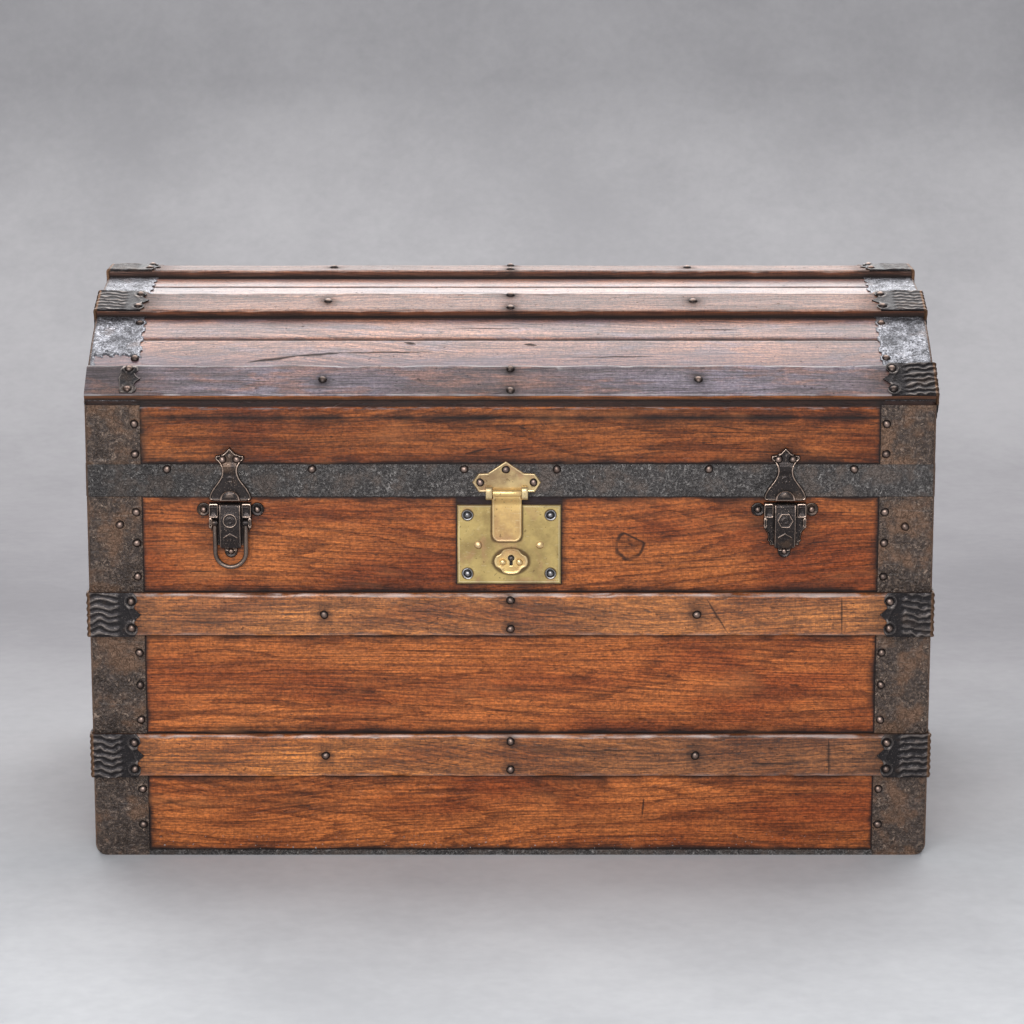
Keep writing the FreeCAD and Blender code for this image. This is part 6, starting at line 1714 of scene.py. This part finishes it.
# %% Brass hasp and keyhole plate
hasp_x, pin_z, pin_y = -HASP_LEFT, 383.8 * MM, AXLE_Y
hasp_seat = front_seat(pin_z, LID_FACE, hasp_x)


def soft_plate(x, z, gap):
    """A thin rim that is rubbed bright, and a slightly sunk field."""
    rim = rim_line(gap, 1.3 * MM, 0.7 * MM)
    return 0.25 * MM * rim + 0.10 * MM * ripple(x, z, 0.02, 5), rim


def lug_shape(x0, x1):
    """A lug: an upright rounded bar's cross-section carried along X, with a root back to the plate."""
    turn = np.linspace(0, 2 * math.pi, 32, endpoint=False)
    along = np.array([x0, x0 + 0.3 * MM, x0 + 0.9 * MM, x1 - 0.9 * MM, x1 - 0.3 * MM, x1])[:, None]
    r = 4.4 * MM - 0.9 * MM * np.array([1, 0.3, 0, 0, 0.3, 1])[:, None]
    y = pin_y + r * np.cos(turn)
    z = pin_z + r * np.sin(turn) + 2.6 * MM * np.sign(np.round(np.sin(turn), 6))
    return even_bar(np.stack(np.broadcast_arrays(along, y, z), -1), 0.8)


plate_left = [(-28.4, 0.0), (-35.2, 10.3), (-29.0, 19.4), (-19.8, 19.7), (-1.05, 32.2)]
plate_right = [(28.4, 0.0), (34.8, 10.3), (28.4, 19.4), (17.8, 19.7), (-0.95, 32.2)]
hasp_plate = [cast_plate(hasp_seat, plate_right, 1.5 * MM, soft_plate, 0.8 * MM, plate_left)]
for side in (-1, 1):
    inner, outer = sorted((hasp_x + side * 14.8 * MM, hasp_x + side * 21.5 * MM))
    hasp_plate.append(lug_shape(inner, outer))
add_raised("brass_hasp_plate", hasp_plate, plate_brass, "lid", ("hasp_plate",), 40)

leaf_seat = front_seat(LEAF_FOOT, FRONT_Y - 2.6 * MM, hasp_x)
leaf_right = [(8.0, 0.0), (10.4, 0.4), (12.8, 2.2), (14.4, 4.6), (15.2, 8.0), (15.2, 44.6), (14.4, 45.6),
              (14.4, 51.1)]


def leaf_rise(z):
    """The leaf leaves the lock plate below its barrel and comes out to the barrel's front."""
    return 4.1 * MM * smooth(38 * MM, 48 * MM, z)


leaf = cast_plate(leaf_seat, leaf_right, 2.6 * MM, soft_plate, 1.1 * MM, base=leaf_rise)
staple_turn = np.linspace(-math.pi / 2, math.pi / 2, 12)
staple_in, staple_deep = FRONT_Y - 2.8 * MM, FRONT_Y + 3.8 * MM
staple_path = [(hasp_x, staple_in, 344.8 * MM)]
staple_path += [(hasp_x, staple_deep + 3.5 * MM * math.cos(t), (351.0 + 6.2 * math.sin(t)) * MM)
                for t in staple_turn]
staple_path += [(hasp_x, staple_in, 357.2 * MM)]
hasp_parts = [leaf, rod(hasp_x - 14.4 * MM, hasp_x + 14.4 * MM, pin_y, pin_z, 4.4 * MM),
              wire(staple_path, (1, 0, 0), 1.3 * MM)]
add_raised("brass_hasp_leaf", hasp_parts, hasp_brass, "hasp", ("hasp",), 40)


def keyhole_plate():
    """Rings about the plate's middle: the radius goes from the keyhole's outline to the scalloped one."""
    (middle_x, middle_z), halves = KEYHOLE
    turn = np.linspace(0, 2 * math.pi, 120, endpoint=False)
    step = np.linspace(0, 24 * MM, 2400)[:, None]
    x, z = step * np.cos(turn), step * np.sin(turn)
    in_slot = (np.abs(x) < 1.6 * MM) & (z > -4.4 * MM) & (z < 3.5 * MM)
    in_hole = (np.hypot(x, z - 3.5 * MM) < 3.4 * MM) | in_slot
    hole = step[:, 0][np.argmin(in_hole, axis=0)]
    quarter = np.array([(1.0, 0.0), (0.97, 0.22), (0.90, 0.42), (0.74, 0.52), (0.60, 0.66), (0.46, 0.92),
                        (0.3, 1.0), (0.0, 1.03)]) * halves * MM
    angle = np.arctan2(quarter[:, 1], quarter[:, 0])
    folded = np.arcsin(np.abs(np.sin(turn)))
    edge = np.interp(folded, angle, np.hypot(quarter[:, 0], quarter[:, 1]))
    share = np.array([1.0, 1.0, 0.97, 0.92, 0.86, 0.80, 0.6, 0.4, 0.2, 0.05, 0.0, 0.0])[:, None]
    lift = np.array([0, 0.7, 1.3, 1.6, 1.55, 1.2, 1.15, 1.15, 1.2, 1.3, 1.1, 0])[:, None] * MM
    bright = np.array([0, 0.4, 1, 1, 0.7, 0.1, 0, 0, 0, 0.6, 0.6, 0])[:, None]
    radius = hole + share * (edge - hole)
    seat = front_seat(middle_z * MM, FRONT_Y - 1.5 * MM, middle_x * MM)
    points = seat.put(radius * np.cos(turn), radius * np.sin(turn), lift + 0 * radius)
    rows, columns = radius.shape
    faces = grid_faces(rows, columns, wrap=True).tolist()
    index = np.arange(columns)
    back = np.stack([(rows - 1) * columns + index, (rows - 1) * columns + (index + 1) % columns,
                     (index + 1) % columns, index], -1)
    return (points.reshape(-1, 3), faces + back.tolist()), (bright + 0 * radius).ravel()


add_raised("scalloped_keyhole_plate", [keyhole_plate()], hasp_brass, "trunk_body",
           ("lock_escutcheon",), 40)
